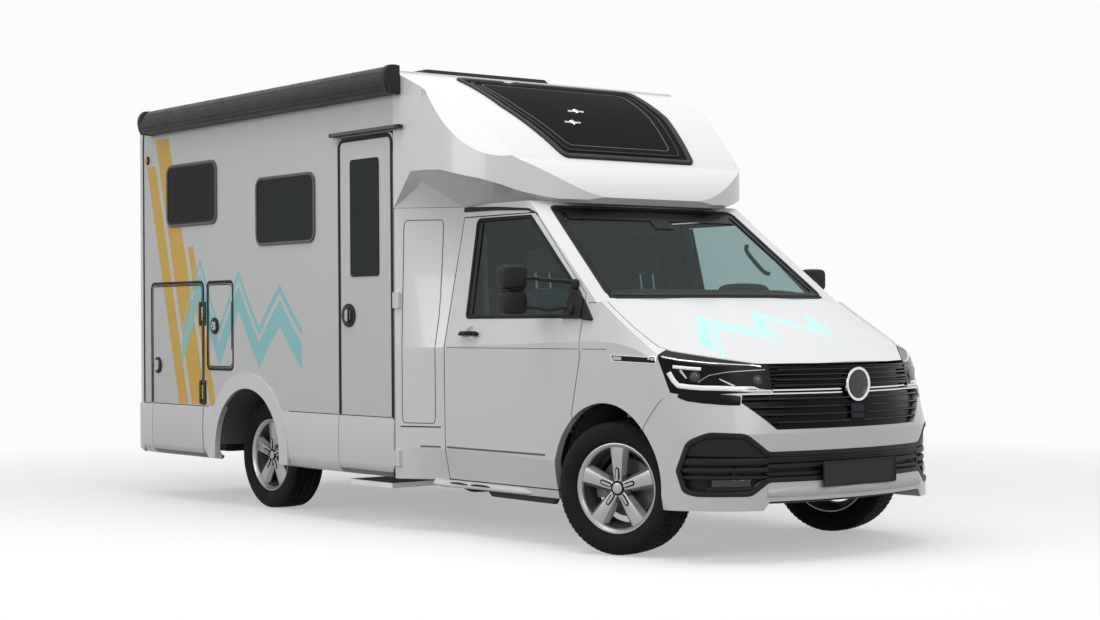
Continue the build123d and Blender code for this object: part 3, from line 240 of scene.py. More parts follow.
def metal(name, color, rough=0.3, metallic=1.0, streak=None, grain=0.05):
    s = Mat(name)
    s.set(metallic=metallic, base_color=s.mix(s.noise(9.0, 4.0), color, scaled(color, 0.86)),
          roughness=s.wander(60.0, rough - 0.05, rough + 0.07, streak))
    return s.bump(s.noise(300.0, 2.0, streak), grain)


def glass(name, tint, opacity, shade=0.06):
    """Thin tinted pane: part see-through, part reflecting."""
    rough, ior, sheen = 0.02, 1.35, 0.10
    s = Mat(name)
    s.n.remove(s.p)
    clear = s.node("BsdfTransparent", {0: (*tint, 1.0)}).outputs[0]
    tone = s.mix(s.noise(2.0, 2.0), scaled(tint, shade), tuple(c * shade * 1.4 for c in tint))
    body = s.node("BsdfDiffuse", {0: tone}).outputs[0]
    gloss = s.node("BsdfGlossy", {"Roughness": s.wander(30.0, rough, rough + 0.02)}).outputs[0]
    share = s.math("MULTIPLY", s.node("Fresnel", {0: ior}).outputs[0], sheen)
    s.put(s.out.inputs[0], s.blend(share, s.blend(opacity, clear, body), gloss))
    return s


def cloth(name, color):
    """Woven fabric: crossed fine threads and a soft sheen."""
    s = Mat(name)
    x, y, z = s.xyz()
    weave = s.math("MULTIPLY", s.math("SINE", s.math("MULTIPLY", y, THREADS)),
                   s.math("SINE", s.math("MULTIPLY", s.math("ADD", x, z), THREADS)))
    s.set(base_color=s.mix(s.noise(40.0, 4.0), color, scaled(color, 1.5)), sheen_weight=0.3,
          roughness=s.wander(90.0, 0.85, 0.95))
    return s.bump(weave, 0.2)


# each row: the maker's arguments after the name
PAINTS = {
    "white_paint": dict(color=WHITE),
    # heart and lining give painted shade on the inner faces
    "cab_paint": dict(color=WHITE, heart=(1.0, 0.0, 0.9)),
    "skirt_paint": dict(color=WHITE, lining=1.045),
    "hood_paint": dict(color=WHITE, marks=hood_marks),
    "white_gelcoat": dict(color=(0.66, 0.67, 0.68), rough=0.30, dirt=0.05),
    "silver_panel": dict(color=(0.55, 0.555, 0.56), rough=0.45, coat=0.15, dirt=0.1, marks=wall_marks),
}
PLASTICS = {
    "black_plastic": ((0.012, 0.0125, 0.013), 0.45), "black_gloss": ((0.004, 0.004, 0.0045), 0.20, 300.0, 0.02, 0.10),
    "anthracite": ((0.016, 0.017, 0.019), 0.42, 1500.0, 0.08), "rubber": ((0.008, 0.008, 0.008), 0.65, 600.0, 0.1),
    "tyre": ((0.0085, 0.0085, 0.009), 0.80, 700.0, 0.3, 0.14),
    "grille_bar": ((0.030, 0.031, 0.033), 0.25, 300.0, 0.03), "sensor": ((0.010, 0.014, 0.026), 0.14, 300.0, 0.02),
    # the crease grey is painted shade along the cab's crease
    "crease_grey": ((0.20, 0.20, 0.20), 0.6, 300.0, 0.05), "seam_grey": ((0.12, 0.12, 0.12), 0.6, 300.0, 0.05),
    "frame_line": ((0.09, 0.09, 0.092), 0.4, 300.0, 0.05), "chassis": ((0.010, 0.010, 0.011), 0.5, 500.0, 0.1),
    "board": ((0.12, 0.115, 0.11), 0.7, 250.0, 0.2), "interior": ((0.024, 0.025, 0.027), 0.6, 700.0, 0.2),
    "lining": ((0.12, 0.12, 0.118), 0.85, 900.0, 0.2), "plate": ((0.022, 0.024, 0.027), 0.4, 1200.0, 0.1),
    "vent_white": ((0.55, 0.55, 0.55), 0.5, 900.0, 0.05), "lamp_white": ((0.86, 0.88, 0.90), 0.2, 300.0, 0.02, 0.5),
    "clear_lens": ((0.05, 0.053, 0.058), 0.08, 200.0, 0.03, 0.5),
    "fog_glass": ((0.02, 0.021, 0.023), 0.10, 60.0, 0.8, 0.5),
    "red_lens": ((0.30, 0.008, 0.010), 0.12, 120.0, 0.05), "amber_lens": ((0.75, 0.27, 0.02), 0.15, 120.0, 0.05),
}
METALS = {
    "alloy": ((0.40, 0.405, 0.415), 0.34, 0.75, None, 0.015), "chrome": ((0.80, 0.81, 0.82), 0.14),
    "rim_dark": ((0.045, 0.046, 0.048), 0.6, 0.3), "steel": ((0.42, 0.42, 0.42), 0.35),
    "cast": ((0.20, 0.20, 0.20), 0.55, 0.7), "exhaust": ((0.30, 0.28, 0.26), 0.45, 0.9, (0.4, 8.0, 8.0)),
    "aluminium": ((0.66, 0.67, 0.68), 0.33, 1.0, (0.2, 6.0, 6.0)), "mirror_glass": ((0.55, 0.58, 0.60), 0.06),
    "emblem_face": ((0.07, 0.072, 0.075), 0.25, 0.8), "skid_silver": ((0.50, 0.51, 0.52), 0.42, 0.35),
}
# the skylight's copy of the acrylic has a darker body: painted shade against the extra light on its upward face
GLASSES = {"cab_glass": ((0.72, 0.79, 0.79), 0.02), "acrylic": ((0.10, 0.11, 0.115), 0.9, 0.35),
           "roof_glass": ((0.10, 0.11, 0.115), 0.9, 0.10)}
M = {name: paint(name, **row) for name, row in PAINTS.items()}
for maker, rows in ((plastic, PLASTICS), (metal, METALS), (glass, GLASSES)):
    M.update({name: maker(name, *row) for name, row in rows.items()})
M["seat_cloth"] = cloth("seat_cloth", (0.022, 0.023, 0.026))

# material of each CAD node that is shown as it is; the rest are tyres and rims
LOOKS = {
    "cab_paint": "cab_shell cab_door_right cab_door_left", "hood_paint": "hood", "skirt_paint": "side_skirts",
    "white_paint": "front_bumper arch_flares",
    "white_gelcoat": "roof_cap roof_panel rear_wall fairings rear_bumper",
    "silver_panel": "side_wall_right side_wall_left entry_door garage_door service_hatch",
    "anthracite": "gutter_bar awning", "cab_glass": "windscreen door_glass_right door_glass_left",
    "roof_glass": "skylight", "acrylic": "side_windows entry_door_window", "black_gloss": "roof_hatch headlamps grille",
    "black_plastic": "mirror_right mirror_left lower_intake underfloor_tanks front_liners", "plate": "number_plates",
    "interior": "dashboard steering_wheel cab_seats", "red_lens": "rear_lamps", "aluminium": "entry_step",
    "board": "floor", "chassis": "chassis_frame front_suspension rear_axle",
    "cast": "engine_block knuckle_right knuckle_left", "exhaust": "exhaust",
}
look_of = {name: look for look, names in LOOKS.items() for name in names.split()}


def smooth_with_edges(mesh, angle):
    mesh.shade_smooth()
    mesh.set_sharp_from_angle(angle=math.radians(angle))


for name, node in nodes.items():
    node.data.materials.clear()
    node.data.materials.append(M[look_of.get(name, "tyre" if name.startswith("tyre") else "alloy")].m)
    smooth_with_edges(node.data, 30)

# ------------------------------------------------------------------ mesh helpers
# material slot name for each look, where a call gives none; black_plastic for the rest. piece() looks the slot up and
# keeps it nowhere
SLOTS = {
    "tyre": "tyre", "alloy": "alloy", "black_gloss": "black_gloss", "chrome": "black_gloss", "sensor": "black_gloss",
    "grille_bar": "black_gloss", "emblem_face": "black_gloss", "mirror_glass": "black_gloss",
    "seam_grey": "white_gelcoat", "crease_grey": "white_paint", "white_paint": "white_paint",
    "vent_white": "white_gelcoat", "red_lens": "red_lens", "seat_cloth": "seat_fabric", "lamp_white": "lamp_glass",
    "clear_lens": "lamp_glass", "fog_glass": "lamp_glass", "amber_lens": "lamp_glass", "skid_silver": "bare_aluminium",
}


def piece(name, lists, look, slot=None, body="van_body", place=None, angle=32):
    """A mesh piece from corner and face lists, put in place and given to a body."""
    mesh = bpy.data.meshes.new(name)
    mesh.from_pydata([tuple(v) for v in lists[0]], [], lists[1])
    bm = bmesh.new()
    bm.from_mesh(mesh)
    if place is not None:
        bm.transform(place)
    bmesh.ops.recalc_face_normals(bm, faces=bm.faces)
    bm.to_mesh(mesh)
    bm.free()
    smooth_with_edges(mesh, angle)
    o = bpy.data.objects.new(name, mesh)
    bpy.context.scene.collection.objects.link(o)
    o.data.materials.append(M[look].m)
    slot = slot or SLOTS.get(look, "black_plastic")
    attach(o, body)
    return o


def circle(count):
    """Cosine and sine round a full turn."""
    return [(math.cos(2 * math.pi * k / count), math.sin(2 * math.pi * k / count)) for k in range(count)]


def lathe(rows, steps):
    """Turns a closed ring of (radius, y) rows about Y: corner and face lists."""
    n = len(rows)
    verts = [(r * s, y, r * c) for c, s in circle(steps) for r, y in rows]
    return verts, ring_faces(n, steps)


def ring_faces(n, steps):
    """Faces between rings of n points, the last ring joined to the first."""
    faces = []
    for k in range(steps):
        a, b = k * n, (k + 1) % steps * n
        faces += [(a + i, a + (i + 1) % n, b + (i + 1) % n, b + i) for i in range(n)]
    return faces


def loft(sections, caps=True):
    """Joins equal point rings into a tube: corner and face lists."""
    verts = [p for s in sections for p in s]
    n = len(sections[0])
    faces = []
    for k in range(len(sections) - 1):
        a, b = k * n, (k + 1) * n
        faces += [(a + i, a + (i + 1) % n, b + (i + 1) % n, b + i) for i in range(n)]
    if caps:
        faces += [tuple(range(n)), tuple(range(len(verts) - n, len(verts)))]
    return verts, faces


def merged(*parts):
    verts, faces = [], []
    for v, f in parts:
        k = len(verts)
        verts += list(v)
        faces += [tuple(i + k for i in face) for face in f]
    return verts, faces


def rod_lists(a, b, radius, sides=16):
    axis = (b - a).normalized()
    side = axis.orthogonal().normalized()
    other = axis.cross(side)
    ring = [side * c * radius + other * s * radius for c, s in circle(sides)]
    return loft([[a + p for p in ring], [b + p for p in ring]])


# ------------------------------------------------------------------ wheels
# columns: radius, half width; from the bead out to the shoulder
SIDEWALL = ((0.234, 0.0875), (0.238, 0.1000), (0.243, 0.1065), (0.247, 0.1070), (0.251, 0.1095), (0.262, 0.1145),
            (0.278, 0.1174), (0.295, 0.1166), (0.299, 0.1172), (0.303, 0.1160), (0.314, 0.1130), (0.323, 0.1088),
            (0.331, 0.1040), (0.3375, 0.0985))
RIB_EDGES = (0.0960, 0.0715, 0.0690, 0.0610, 0.0585, 0.0300, 0.0275, 0.0195, 0.0170)
GROOVE_EDGES = (2, 3, 6, 7)             # rows of RIB_EDGES at the foot of a groove
GROOVE_DEPTH = 0.0075
PITCHES = 70
PITCH_STEPS = 6
CROWN_R = 0.345
CUTS = {"outer": 0.0065, "inner": 0.0045}
SHOULDER_R, SHOULDER_CUT = 0.325, 0.0028


def tyre_lists():
    """Road tyre: sidewalls with rings, four round grooves, slanted cross grooves in the ribs."""
    half = [(r, y, "wall") for r, y in SIDEWALL]
    for i, y in enumerate(RIB_EDGES):
        crown = CROWN_R - 0.0035 * (abs(y) / 0.09) ** 2
        if i in GROOVE_EDGES:
            half.append((crown - GROOVE_DEPTH, y, "foot"))
        else:
            half.append((crown, y, "outer" if i < 2 else "inner"))
    rows = half + [(r, -y, kind) for r, y, kind in reversed(half)]
    steps = PITCHES * PITCH_STEPS
    verts = []
    for k, (c, s) in enumerate(circle(steps)):
        for r, y, kind in rows:
            slant = round(abs(y) * 55) if kind == "inner" else 0
            if (k + slant + (3 if y < 0 else 0)) % PITCH_STEPS == 0:
                r -= SHOULDER_CUT if kind == "wall" and r > SHOULDER_R else CUTS.get(kind, 0.0)
            verts.append((r * s, y, r * c))
    return verts, ring_faces(len(rows), steps)


RIM_ROWS = ((0.2325, -0.0975), (0.2335, -0.0935), (0.2325, -0.0885), (0.224, -0.0860), (0.218, -0.0800),
            (0.2160, -0.060), (0.200, -0.045), (0.192, -0.020), (0.192, 0.020), (0.204, 0.050),
            (0.2160, 0.070), (0.2170, 0.085), (0.2325, 0.0885), (0.2335, 0.0940), (0.2325, 0.0975),
            (0.226, 0.0980), (0.2130, 0.085), (0.2060, 0.066), (0.188, 0.040), (0.184, 0.015),
            (0.184, -0.020), (0.196, -0.048), (0.2045, -0.062), (0.2075, -0.078), (0.2130, -0.0885),
            (0.2270, -0.0985))
SPOKES = 5
CORNER_STEPS = 5
# columns: radius, half width of the flat, half width at the facet's foot, depth of the flat
BLADE = ((0.030, 0.018, 0.032, -0.0800), (0.060, 0.0205, 0.0370, -0.0815), (0.100, 0.0240, 0.0430, -0.0840),
         (0.150, 0.0285, 0.0500, -0.0860), (0.190, 0.0330, 0.0560, -0.0865), (0.2150, 0.0360, 0.0600, -0.0850))
FACET_DROP = 0.026
BLADE_T = 0.036
CAP_ROWS = ((0.0001, -0.0895), (0.018, -0.0890), (0.0265, -0.0875), (0.0285, -0.0860), (0.0290, -0.0780),
            (0.0001, -0.0780))
CAP_RING = ((0.0290, -0.0850), (0.0310, -0.0880), (0.0350, -0.0880), (0.0375, -0.0850), (0.0380, -0.0760),
            (0.0290, -0.0760))
HUB_ROWS = ((0.0001, -0.0770), (0.066, -0.0770), (0.074, -0.0700), (0.074, -0.010), (0.0001, -0.010))
# painted shade: dark inner face of the barrel, a millimetre inside the rim
BARREL_FACE = ((0.2060, -0.074), (0.2030, -0.061), (0.1945, -0.047), (0.1830, -0.020), (0.1830, 0.015),
               (0.1870, 0.040), (0.2050, 0.066), (0.2110, 0.084))
BARREL_ROWS = (*BARREL_FACE, *[(r - 0.0006, y) for r, y in reversed(BARREL_FACE)])


def spoke_turn(angle):
    return Matrix.Rotation(angle, 4, "Y")


def blade_lists(angle):
    turn = spoke_turn(angle)
    rings = []
    for r, flat, foot, depth in BLADE:
        right = [(flat - 0.002, depth), (flat + 0.002, depth + 0.0015), (foot, depth + FACET_DROP),
                 (foot, depth + BLADE_T)]
        reach = math.sqrt(max(r * r - (flat * 0.7) ** 2, 0.0004)) if r > 0.2 else r
        ring = [(-x, y) for x, y in reversed(right)] + right
        rings.append([turn @ Vector((x, y, reach)) for x, y in ring])
    return loft(rings)


def capsule(half_w, z0, z1, y0, y1, angle):
    """Round-ended bar along the radius, on a turned spoke."""
    ring = []
    for centre, start in ((z1 - half_w, 0), (z0 + half_w, math.pi)):
        for i in range(CORNER_STEPS + 1):
            a = start + math.pi * i / CORNER_STEPS
            ring.append((half_w * math.cos(a), centre + half_w * math.sin(a)))
    turn = spoke_turn(angle)
    return loft([[turn @ Vector((x * share, y, z)) for x, z in ring]
                 for share, y in ((0.86, y0), (1.0, y0 + (y1 - y0) * 0.35), (1.0, y1))])


def wheel_pieces(tag, place):
    """All visible pieces of one wheel; the outer face looks along -Y before it is placed."""
    def part(name, lists, look, slot=None, angle=32):
        return piece(f"{name}_{tag}", lists, look, slot, "wheel_" + tag, place, angle)
    turns = [2 * math.pi * i / SPOKES for i in range(SPOKES)]
    tyre = part("tread_tyre", tyre_lists(), "tyre", angle=40)
    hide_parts("tyre_" + tag)
    spoked = merged(lathe(RIM_ROWS, 120), *[blade_lists(a) for a in turns])
    rim = part("alloy_rim", spoked, "alloy", angle=28)
    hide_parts("rim_" + tag)
    # dark barrel and hub faces: painted shade seen between the spokes
    part("rim_inside_shade", merged(lathe(BARREL_ROWS, 120), lathe(HUB_ROWS, 60)), "rim_dark")
    slots = [capsule(0.0135, 0.040, 0.108, -0.0858, -0.080, a) for a in turns]
    bars = [capsule(0.0075, 0.040, 0.100, -0.0885, -0.080, a) for a in turns]
    part("rim_slots", merged(*slots, lathe(CAP_RING, 60)), "black_gloss", "alloy")
    part("rim_bars", merged(*bars, lathe(CAP_ROWS, 60)), "alloy")
    between = spoke_turn(math.pi / SPOKES)
    ends = (between @ Vector(p) for p in ((0.012, -0.079, 0.196), (0.010, -0.096, 0.187)))
    part("valve", rod_lists(*ends, 0.0035, 10), "rubber", "tyre")


def wheel_place(front, side):
    """Puts a wheel built at the origin on its axle end, turned as the van is parked."""
    place = Matrix.Translation((FRONT_AXLE if front else REAR_AXLE, side * HALF_TRACK, TYRE_R))
    if side > 0:
        place = place @ Matrix.Rotation(math.pi, 4, "Z")
    if front:
        pin = Matrix.Translation((FRONT_AXLE, side * KINGPIN_Y, 0))
        place = pin @ Matrix.Rotation(STEER_REST, 4, "Z") @ pin.inverted() @ place
    return place


for axle in ("front", "rear"):
    for side_name, side in SIDES.items():
        wheel_pieces(f"{axle}_{side_name}", wheel_place(axle == "front", side))


# ------------------------------------------------------------------ laying details on the CAD faces
def surface(*names):
    """Search tree over the faces of some CAD nodes."""
    verts, faces = [], []
    for name in names:
        mesh = nodes[name].data
        k = len(verts)
        verts += [v.co.copy() for v in mesh.vertices]
        faces += [[i + k for i in p.vertices] for p in mesh.polygons]
    return BVHTree.FromPolygons(verts, faces)


def hit(tree, start, direction):
    """First point met from start along a direction, or the nearest point to start."""
    point = tree.ray_cast(Vector(start), Vector(direction))[0]
    return point if point is not None else tree.find_nearest(Vector(start))[0]


def front_hits(tree, points):
    """Points given as (y, z), met from the front."""
    return [hit(tree, (6.0, y, z), (-1, 0, 0)) for y, z in points]


def top_hits(tree, points):
    """Points given as (x, y), met from above."""
    return [hit(tree, (x, y, 5.0), (0, 0, -1)) for x, y in points]


ARC_STEPS = 6


def steps_between(low, high, count):
    """count + 1 even steps."""
    return [low + (high - low) * k / count for k in range(count + 1)]


def arc_between(centre, s, e):
    w = s.angle(e, 0.0)
    if w < 0.01:
        return [centre + s, centre + e]
    return [centre + (s * math.sin((1 - k / ARC_STEPS) * w) + e * math.sin(k / ARC_STEPS * w)) / math.sin(w)
            for k in range(ARC_STEPS + 1)]


def rounded(points, radius, closed=True):
    """Corner points with their corners turned into arcs."""
    points = [Vector(p) for p in points]
    n = len(points)
    out = []
    for i, p in enumerate(points):
        a, b = points[i - 1], points[(i + 1) % n]
        u, v = (a - p).normalized(), (b - p).normalized()
        half = u.angle(v) / 2
        if half > 1.5 or not closed and i in (0, n - 1):
            out.append(p)
            continue
        reach = min(radius / math.tan(half), (a - p).length * 0.45, (b - p).length * 0.45)
        centre = p + (u + v).normalized() * (reach / math.cos(half))
        out += arc_between(centre, p + u * reach - centre, p + v * reach - centre)
    return out


def dense(points, step, closed=False):
    """More points along a path, no farther apart than step."""
    points = [Vector(p) for p in points]
    if closed:
        points = points + [points[0]]
    out = []
    for a, b in zip(points, points[1:]):
        count = max(1, math.ceil((b - a).length / step))
        out += [a.lerp(b, k / count) for k in range(count)]
    return out if closed else out + [points[-1]]


# a strip's section: share of the width, share of the height (None for the sunk foot)
RIBBON = ((-0.5, None), (-0.5, 0.55), (-0.36, 1.0), (0.36, 1.0), (0.5, 0.55), (0.5, None))


def ribbon_lists(path, width, height, on=None, normal=None, closed=False, sink=0.002, taper=None):
    """Low strip along a path; it follows the faces of a search tree, or a plane with one normal."""
    path = [Vector(p) for p in path]
    n = len(path)
    if on is not None:
        normals = [on.find_nearest(p)[1] for p in path]
    else:
        normals = [Vector(v) for v in (normal if isinstance(normal, list) else [normal] * n)]
    rings = []
    for i, p in enumerate(path):
        before = i - 1 if closed or i else i
        after = (i + 1) % n if closed or i < n - 1 else i
        tangent = (path[after] - path[before]).normalized()
        up = (normals[i] * 2 + normals[before] + normals[after]).normalized()
        across = up.cross(tangent).normalized()
        w = width * (taper[i] if taper else 1.0)
        ring = []
        for t, h in RIBBON:
            q = p + across * (w * t)
            if on is not None:
                q = on.find_nearest(q)[0]
            ring.append(q + up * (-sink if h is None else height * h))
        rings.append(ring)
    if closed:
        rings.append(rings[0])
    return loft(rings, caps=not closed)


def ribbon(name, path, width, height, look, slot=None, body="van_body", **rest):
    return piece(name, ribbon_lists(path, width, height, **rest), look, slot, body, angle=50)


def spot_ribbon(name, spots, width, height, look, **rest):
    """Strip through (point, normal) pairs."""
    ribbon(name, [q for q, _ in spots], width, height, look, normal=[n for _, n in spots], **rest)


def strip_on(tree, path, width, height, taper=None):
    """Strip whose middle line lies on the tree, held flat across by the face under each point."""
    spots = [tree.find_nearest(p)[:2] for p in path]
    return ribbon_lists([q for q, _ in spots], width, height, normal=[n for _, n in spots], sink=0.004, taper=taper)


def both_sides(name, path, width, height, look, slot=None, tree=None, taper=None, step=0.03):
    """The same strip on the right and, mirrored, on the left, in one piece."""
    path = dense(path, step)
    widths = steps_between(*taper, len(path) - 1) if taper else None
    mirrored = [Vector((p[0], -p[1], p[2])) for p in path]
    lists = [ribbon_lists(p, width, height, on=tree or shell_tree, taper=widths) for p in (path, mirrored)]
    piece(name, merged(*lists), look, slot, angle=50)


def plate_lists(outline, normal, thick, bevel=0.0015):
    """Flat plate on an outline, its upper edge eased."""
    n = Vector(normal).normalized()
    points = [Vector(p) for p in outline]
    centre = sum(points, Vector()) / len(points)
    inner = [p + (centre - p).normalized() * bevel * 1.3 for p in points]
    return loft([points, [p + n * (thick - bevel) for p in points], [p + n * thick for p in inner]])


def plate(name, outline, normal, thick, look, slot=None, body="van_body", bevel=0.0015):
    piece(name, plate_lists(outline, normal, thick, bevel), look, slot, body, angle=40)


def side_rect(x0, x1, z0, z1, y):
    return [Vector((x0, y, z0)), Vector((x1, y, z0)), Vector((x1, y, z1)), Vector((x0, y, z1))]


def end_rect(x, y0, y1, z0, z1):
    return [Vector((x, y0, z0)), Vector((x, y1, z0)), Vector((x, y1, z1)), Vector((x, y0, z1))]


def smooth_path(points, per=6):
    """Rounder path through the same points."""
    points = [Vector(p) for p in points]
    out = []
    for i in range(len(points) - 1):
        p0, p1, p2 = points[max(i - 1, 0)], points[i], points[i + 1]
        p3 = points[min(i + 2, len(points) - 1)]
        for k in range(per):
            t = k / per
            out.append(0.5 * ((2 * p1) + (p2 - p0) * t + (2 * p0 - 5 * p1 + 4 * p2 - p3) * t * t
                              + (3 * p1 - p0 - 3 * p2 + p3) * t ** 3))
    return out + [points[-1]]


def tube_lists(points, radius, sides=14, flat=1.0):
    """Tube along a path; flat squeezes it across its second axis."""
    points = [Vector(p) for p in points]
    rings = []
    side = None
    for i, p in enumerate(points):
        axis = (points[min(i + 1, len(points) - 1)] - points[max(i - 1, 0)]).normalized()
        side = axis.orthogonal().normalized() if side is None else (side - axis * side.dot(axis)).normalized()
        other = axis.cross(side)
        r = radius[i] if isinstance(radius, (list, tuple)) else radius
        rings.append([p + side * c * r + other * s * r * flat for c, s in circle(sides)])
    return loft(rings)


def blob_lists(centre, half, power=0.35, rings=20, sides=36, turn=None):
    """Rounded block: a superellipsoid of the given half sizes."""
    def bent(v):
        return math.copysign(abs(v) ** power, v)
    sections = []
    for i in range(rings + 1):
        a = math.pi * (i / rings - 0.5)
        a = max(min(a, math.pi / 2 - 0.02), -math.pi / 2 + 0.02)
        section = []
        for c, s in circle(sides):
            p = Vector((half[0] * bent(math.cos(a)) * bent(c), half[1] * bent(math.cos(a)) * bent(s),
                        half[2] * bent(math.sin(a))))
            section.append(Vector(centre) + (turn @ p if turn else p))
        sections.append(section)
    return loft(sections)


# ------------------------------------------------------------------ living box: seals, frames, hinges, handles
RIGHT = Vector((0, -1, 0))
SEAL_FOOT = 0.656
# columns: name, x0, x1, upper z, corner radius, width, height, body; open at the foot
for name, x0, x1, z1, radius, width, height, body in (
        ("garage_door_seal", -2.683, -1.933, 1.482, 0.042, 0.015, 0.0035, "van_body"),
        ("entry_door_seal", -0.238, 0.324, 2.290, 0.045, 0.024, 0.0035, "entry_door"),
        ("garage_leaf_seal", -2.661, -1.955, 1.460, 0.03, 0.007, 0.002, "garage_door")):
    corners = [(x, -WALL_Y, z) for x, z in ((x0, SEAL_FOOT), (x0, z1), (x1, z1), (x1, SEAL_FOOT))]
    ribbon(name, rounded(corners, radius, closed=False), width, height, "rubber", body=body, normal=RIGHT)
# columns: name, rectangle in x and z, y, corner radius, width, height, look, body; closed all round
for name, rect, y, radius, width, height, look, body in (
        ("hatch_seal", (-1.882, -1.538, 0.899, 1.479), -WALL_Y, 0.036, 0.014, 0.0035, "rubber", "van_body"),
        ("hatch_leaf_seal", (-1.862, -1.558, 0.919, 1.459), -WALL_Y, 0.028, 0.007, 0.002, "rubber", "service_hatch"),
        ("entry_window_line", (-0.110, 0.190, 1.478, 2.166), -1.090, 0.018, 0.006, 0.001, "black_gloss",
         "entry_door")):
    ribbon(name, rounded(side_rect(*rect, y), radius), width, height, look, "black_plastic", body, normal=RIGHT,
           closed=True)
for name, a, b, width, height, body in (
        ("garage_skirt_joint", (-2.661, SKIRT_TOP), (-1.955, SKIRT_TOP), 0.0045, 0.0012, "garage_door"),
        ("entry_skirt_joint", (-0.246, SKIRT_TOP), (0.332, SKIRT_TOP), 0.0045, 0.0012, "entry_door"),
        ("entry_front_seal", (0.331, 0.31), (0.331, 0.66), 0.010, 0.001, "entry_door")):
    ribbon(name, [(x, -WALL_Y, z) for x, z in (a, b)], width, height, "rubber", body=body, normal=RIGHT)

# columns: name, x0, x1, z0, z1
WINDOWS = (("rear", -2.430, -1.745, 1.870, 2.281), ("middle", -1.216, -0.517, 1.703, 2.123))
PANE_Y = 1.093
MARKER = (-2.721, 2.344)
# wall and skirt joints between the doors
SKIRT_JOINTS = {"right": ((-2.800, -2.690), (-1.925, -1.868), (-0.838, -0.262)),
                "left": ((-2.800, -1.868), (-0.838, 0.338))}


def inset_rect(x0, x1, z0, z1, inset, y):
    return side_rect(x0 + inset, x1 - inset, z0 + inset, z1 - inset, y)


for side_name, side in SIDES.items():
    out = Vector((0, side, 0))
    y = side * WALL_Y
    for name, *rect in WINDOWS:
        tag = f"{name}_window_{side_name}"
        ribbon(tag + "_frame", rounded(inset_rect(*rect, 0.001, side * PANE_Y), 0.060), 0.018, 0.0035, "frame_line",
               normal=out, closed=True, sink=0.009)
        ribbon(tag + "_line", rounded(inset_rect(*rect, 0.016, side * PANE_Y), 0.046), 0.010, 0.0012, "black_gloss",
               "black_plastic", normal=out, closed=True)
    lines = [ribbon_lists([(x0, y, SKIRT_TOP), (x1, y, SKIRT_TOP)], 0.0045, 0.0012, normal=out)
             for x0, x1 in SKIRT_JOINTS[side_name]]
    piece("skirt_joint_" + side_name, merged(*lines), "rubber")
    trim = [(x, y, z) for x, z in ((-2.797, 0.655), (-2.797, 2.480), (-2.785, 2.560), (-2.760, 2.610))]
    ribbon("corner_trim_" + side_name, trim, 0.022, 0.002, "black_plastic", normal=out)
    middle = Vector((MARKER[0], y, MARKER[1]))
    lamp = [Vector((MARKER[0] + 0.017 * c, y, MARKER[1] + 0.030 * s)) for c, s in circle(28)]
    plate("marker_base_" + side_name, lamp, out, 0.012, "black_plastic", bevel=0.003)
    shell = [p + out * 0.012 + (middle - p) * 0.25 for p in lamp]
    plate("marker_lens_" + side_name, shell, out, 0.009, "amber_lens", bevel=0.003)

HINGE_HALF = 0.080


def hinge_leaf(name, x0, x1, z, body):
    """Ribbed black hinge plate standing off the wall."""
    parts = [plate_lists(rounded(side_rect(x0, x1, z - HINGE_HALF, z + HINGE_HALF, -WALL_Y), 0.006), RIGHT, 0.0055)]
    for k in (-0.056, -0.028, 0.0, 0.028, 0.056):
        parts.append(plate_lists(side_rect(x0 + 0.004, x1 - 0.004, z + k - 0.007, z + k + 0.007, -WALL_Y - 0.005),
                                 RIGHT, 0.0045))
    piece(name, merged(*parts), "black_plastic", body=body, angle=40)


for name, z in (("upper", 1.268), ("lower", 0.744)):
    hinge_leaf(f"garage_hinge_{name}_leaf", -1.992, -1.957, z, "garage_door")
    hinge_leaf(f"garage_hinge_{name}_fixed", -1.936, -1.901, z, "van_body")


def box_handle(name, x, z, rx, rz, body, bow):
    """Black lock plate with a turned grip bow and a round key barrel."""
    def disc(cx, y, ax, az, count):
        return [Vector((cx + ax * c, y, z + az * s)) for c, s in circle(count)]
    y = -WALL_Y - 0.010
    parts = [plate_lists(disc(x, -WALL_Y, rx, rz, 36), RIGHT, 0.012, 0.004)]
    if bow:
        grip = [(x + dx, y - dy, z + dz) for dx, dy, dz in ((0.010, 0, 0.040), (0.030, 0.016, 0.030), (0.036, 0.020, 0),
                                                            (0.030, 0.016, -0.030), (0.010, 0, -0.040))]
        parts.append(tube_lists(smooth_path(grip), 0.0065))
    parts.append(plate_lists(disc(x - 0.012, y, 0.013, 0.013, 24), RIGHT, 0.008, 0.002))
    piece(name, merged(*parts), "black_plastic", body=body, angle=40)
    plate(name + "_key", disc(x - 0.012, y - 0.008, 0.008, 0.008, 20), RIGHT, 0.0015, "chrome", "black_plastic", body,
          0.0004)


box_handle("entry_handle", -0.137, 1.246, 0.072, 0.070, "entry_door", True)
box_handle("garage_handle", -2.587, 0.917, 0.052, 0.056, "garage_door", False)
box_handle("hatch_handle", -1.777, 1.187, 0.052, 0.055, "service_hatch", False)


# ------------------------------------------------------------------ awning and skylight
def awning_profile(grow, x):
    """Case outline in Y and Z at one x."""
    rows = [(-1.086, 2.516), (-1.086, 2.676), (-1.120, 2.680)]
    for k in range(1, 12):
        a = 1.35 - k / 12 * 2.35
        rows.append((-1.124 - 0.068 * math.cos(a), 2.602 + 0.082 * math.sin(a)))
    rows.append((-1.168, 2.520))
    cy = sum(p[0] for p in rows) / len(rows)
    cz = sum(p[1] for p in rows) / len(rows)
    return [Vector((x, cy + (y - cy) * grow, cz + (z - cz) * grow)) for y, z in rows]


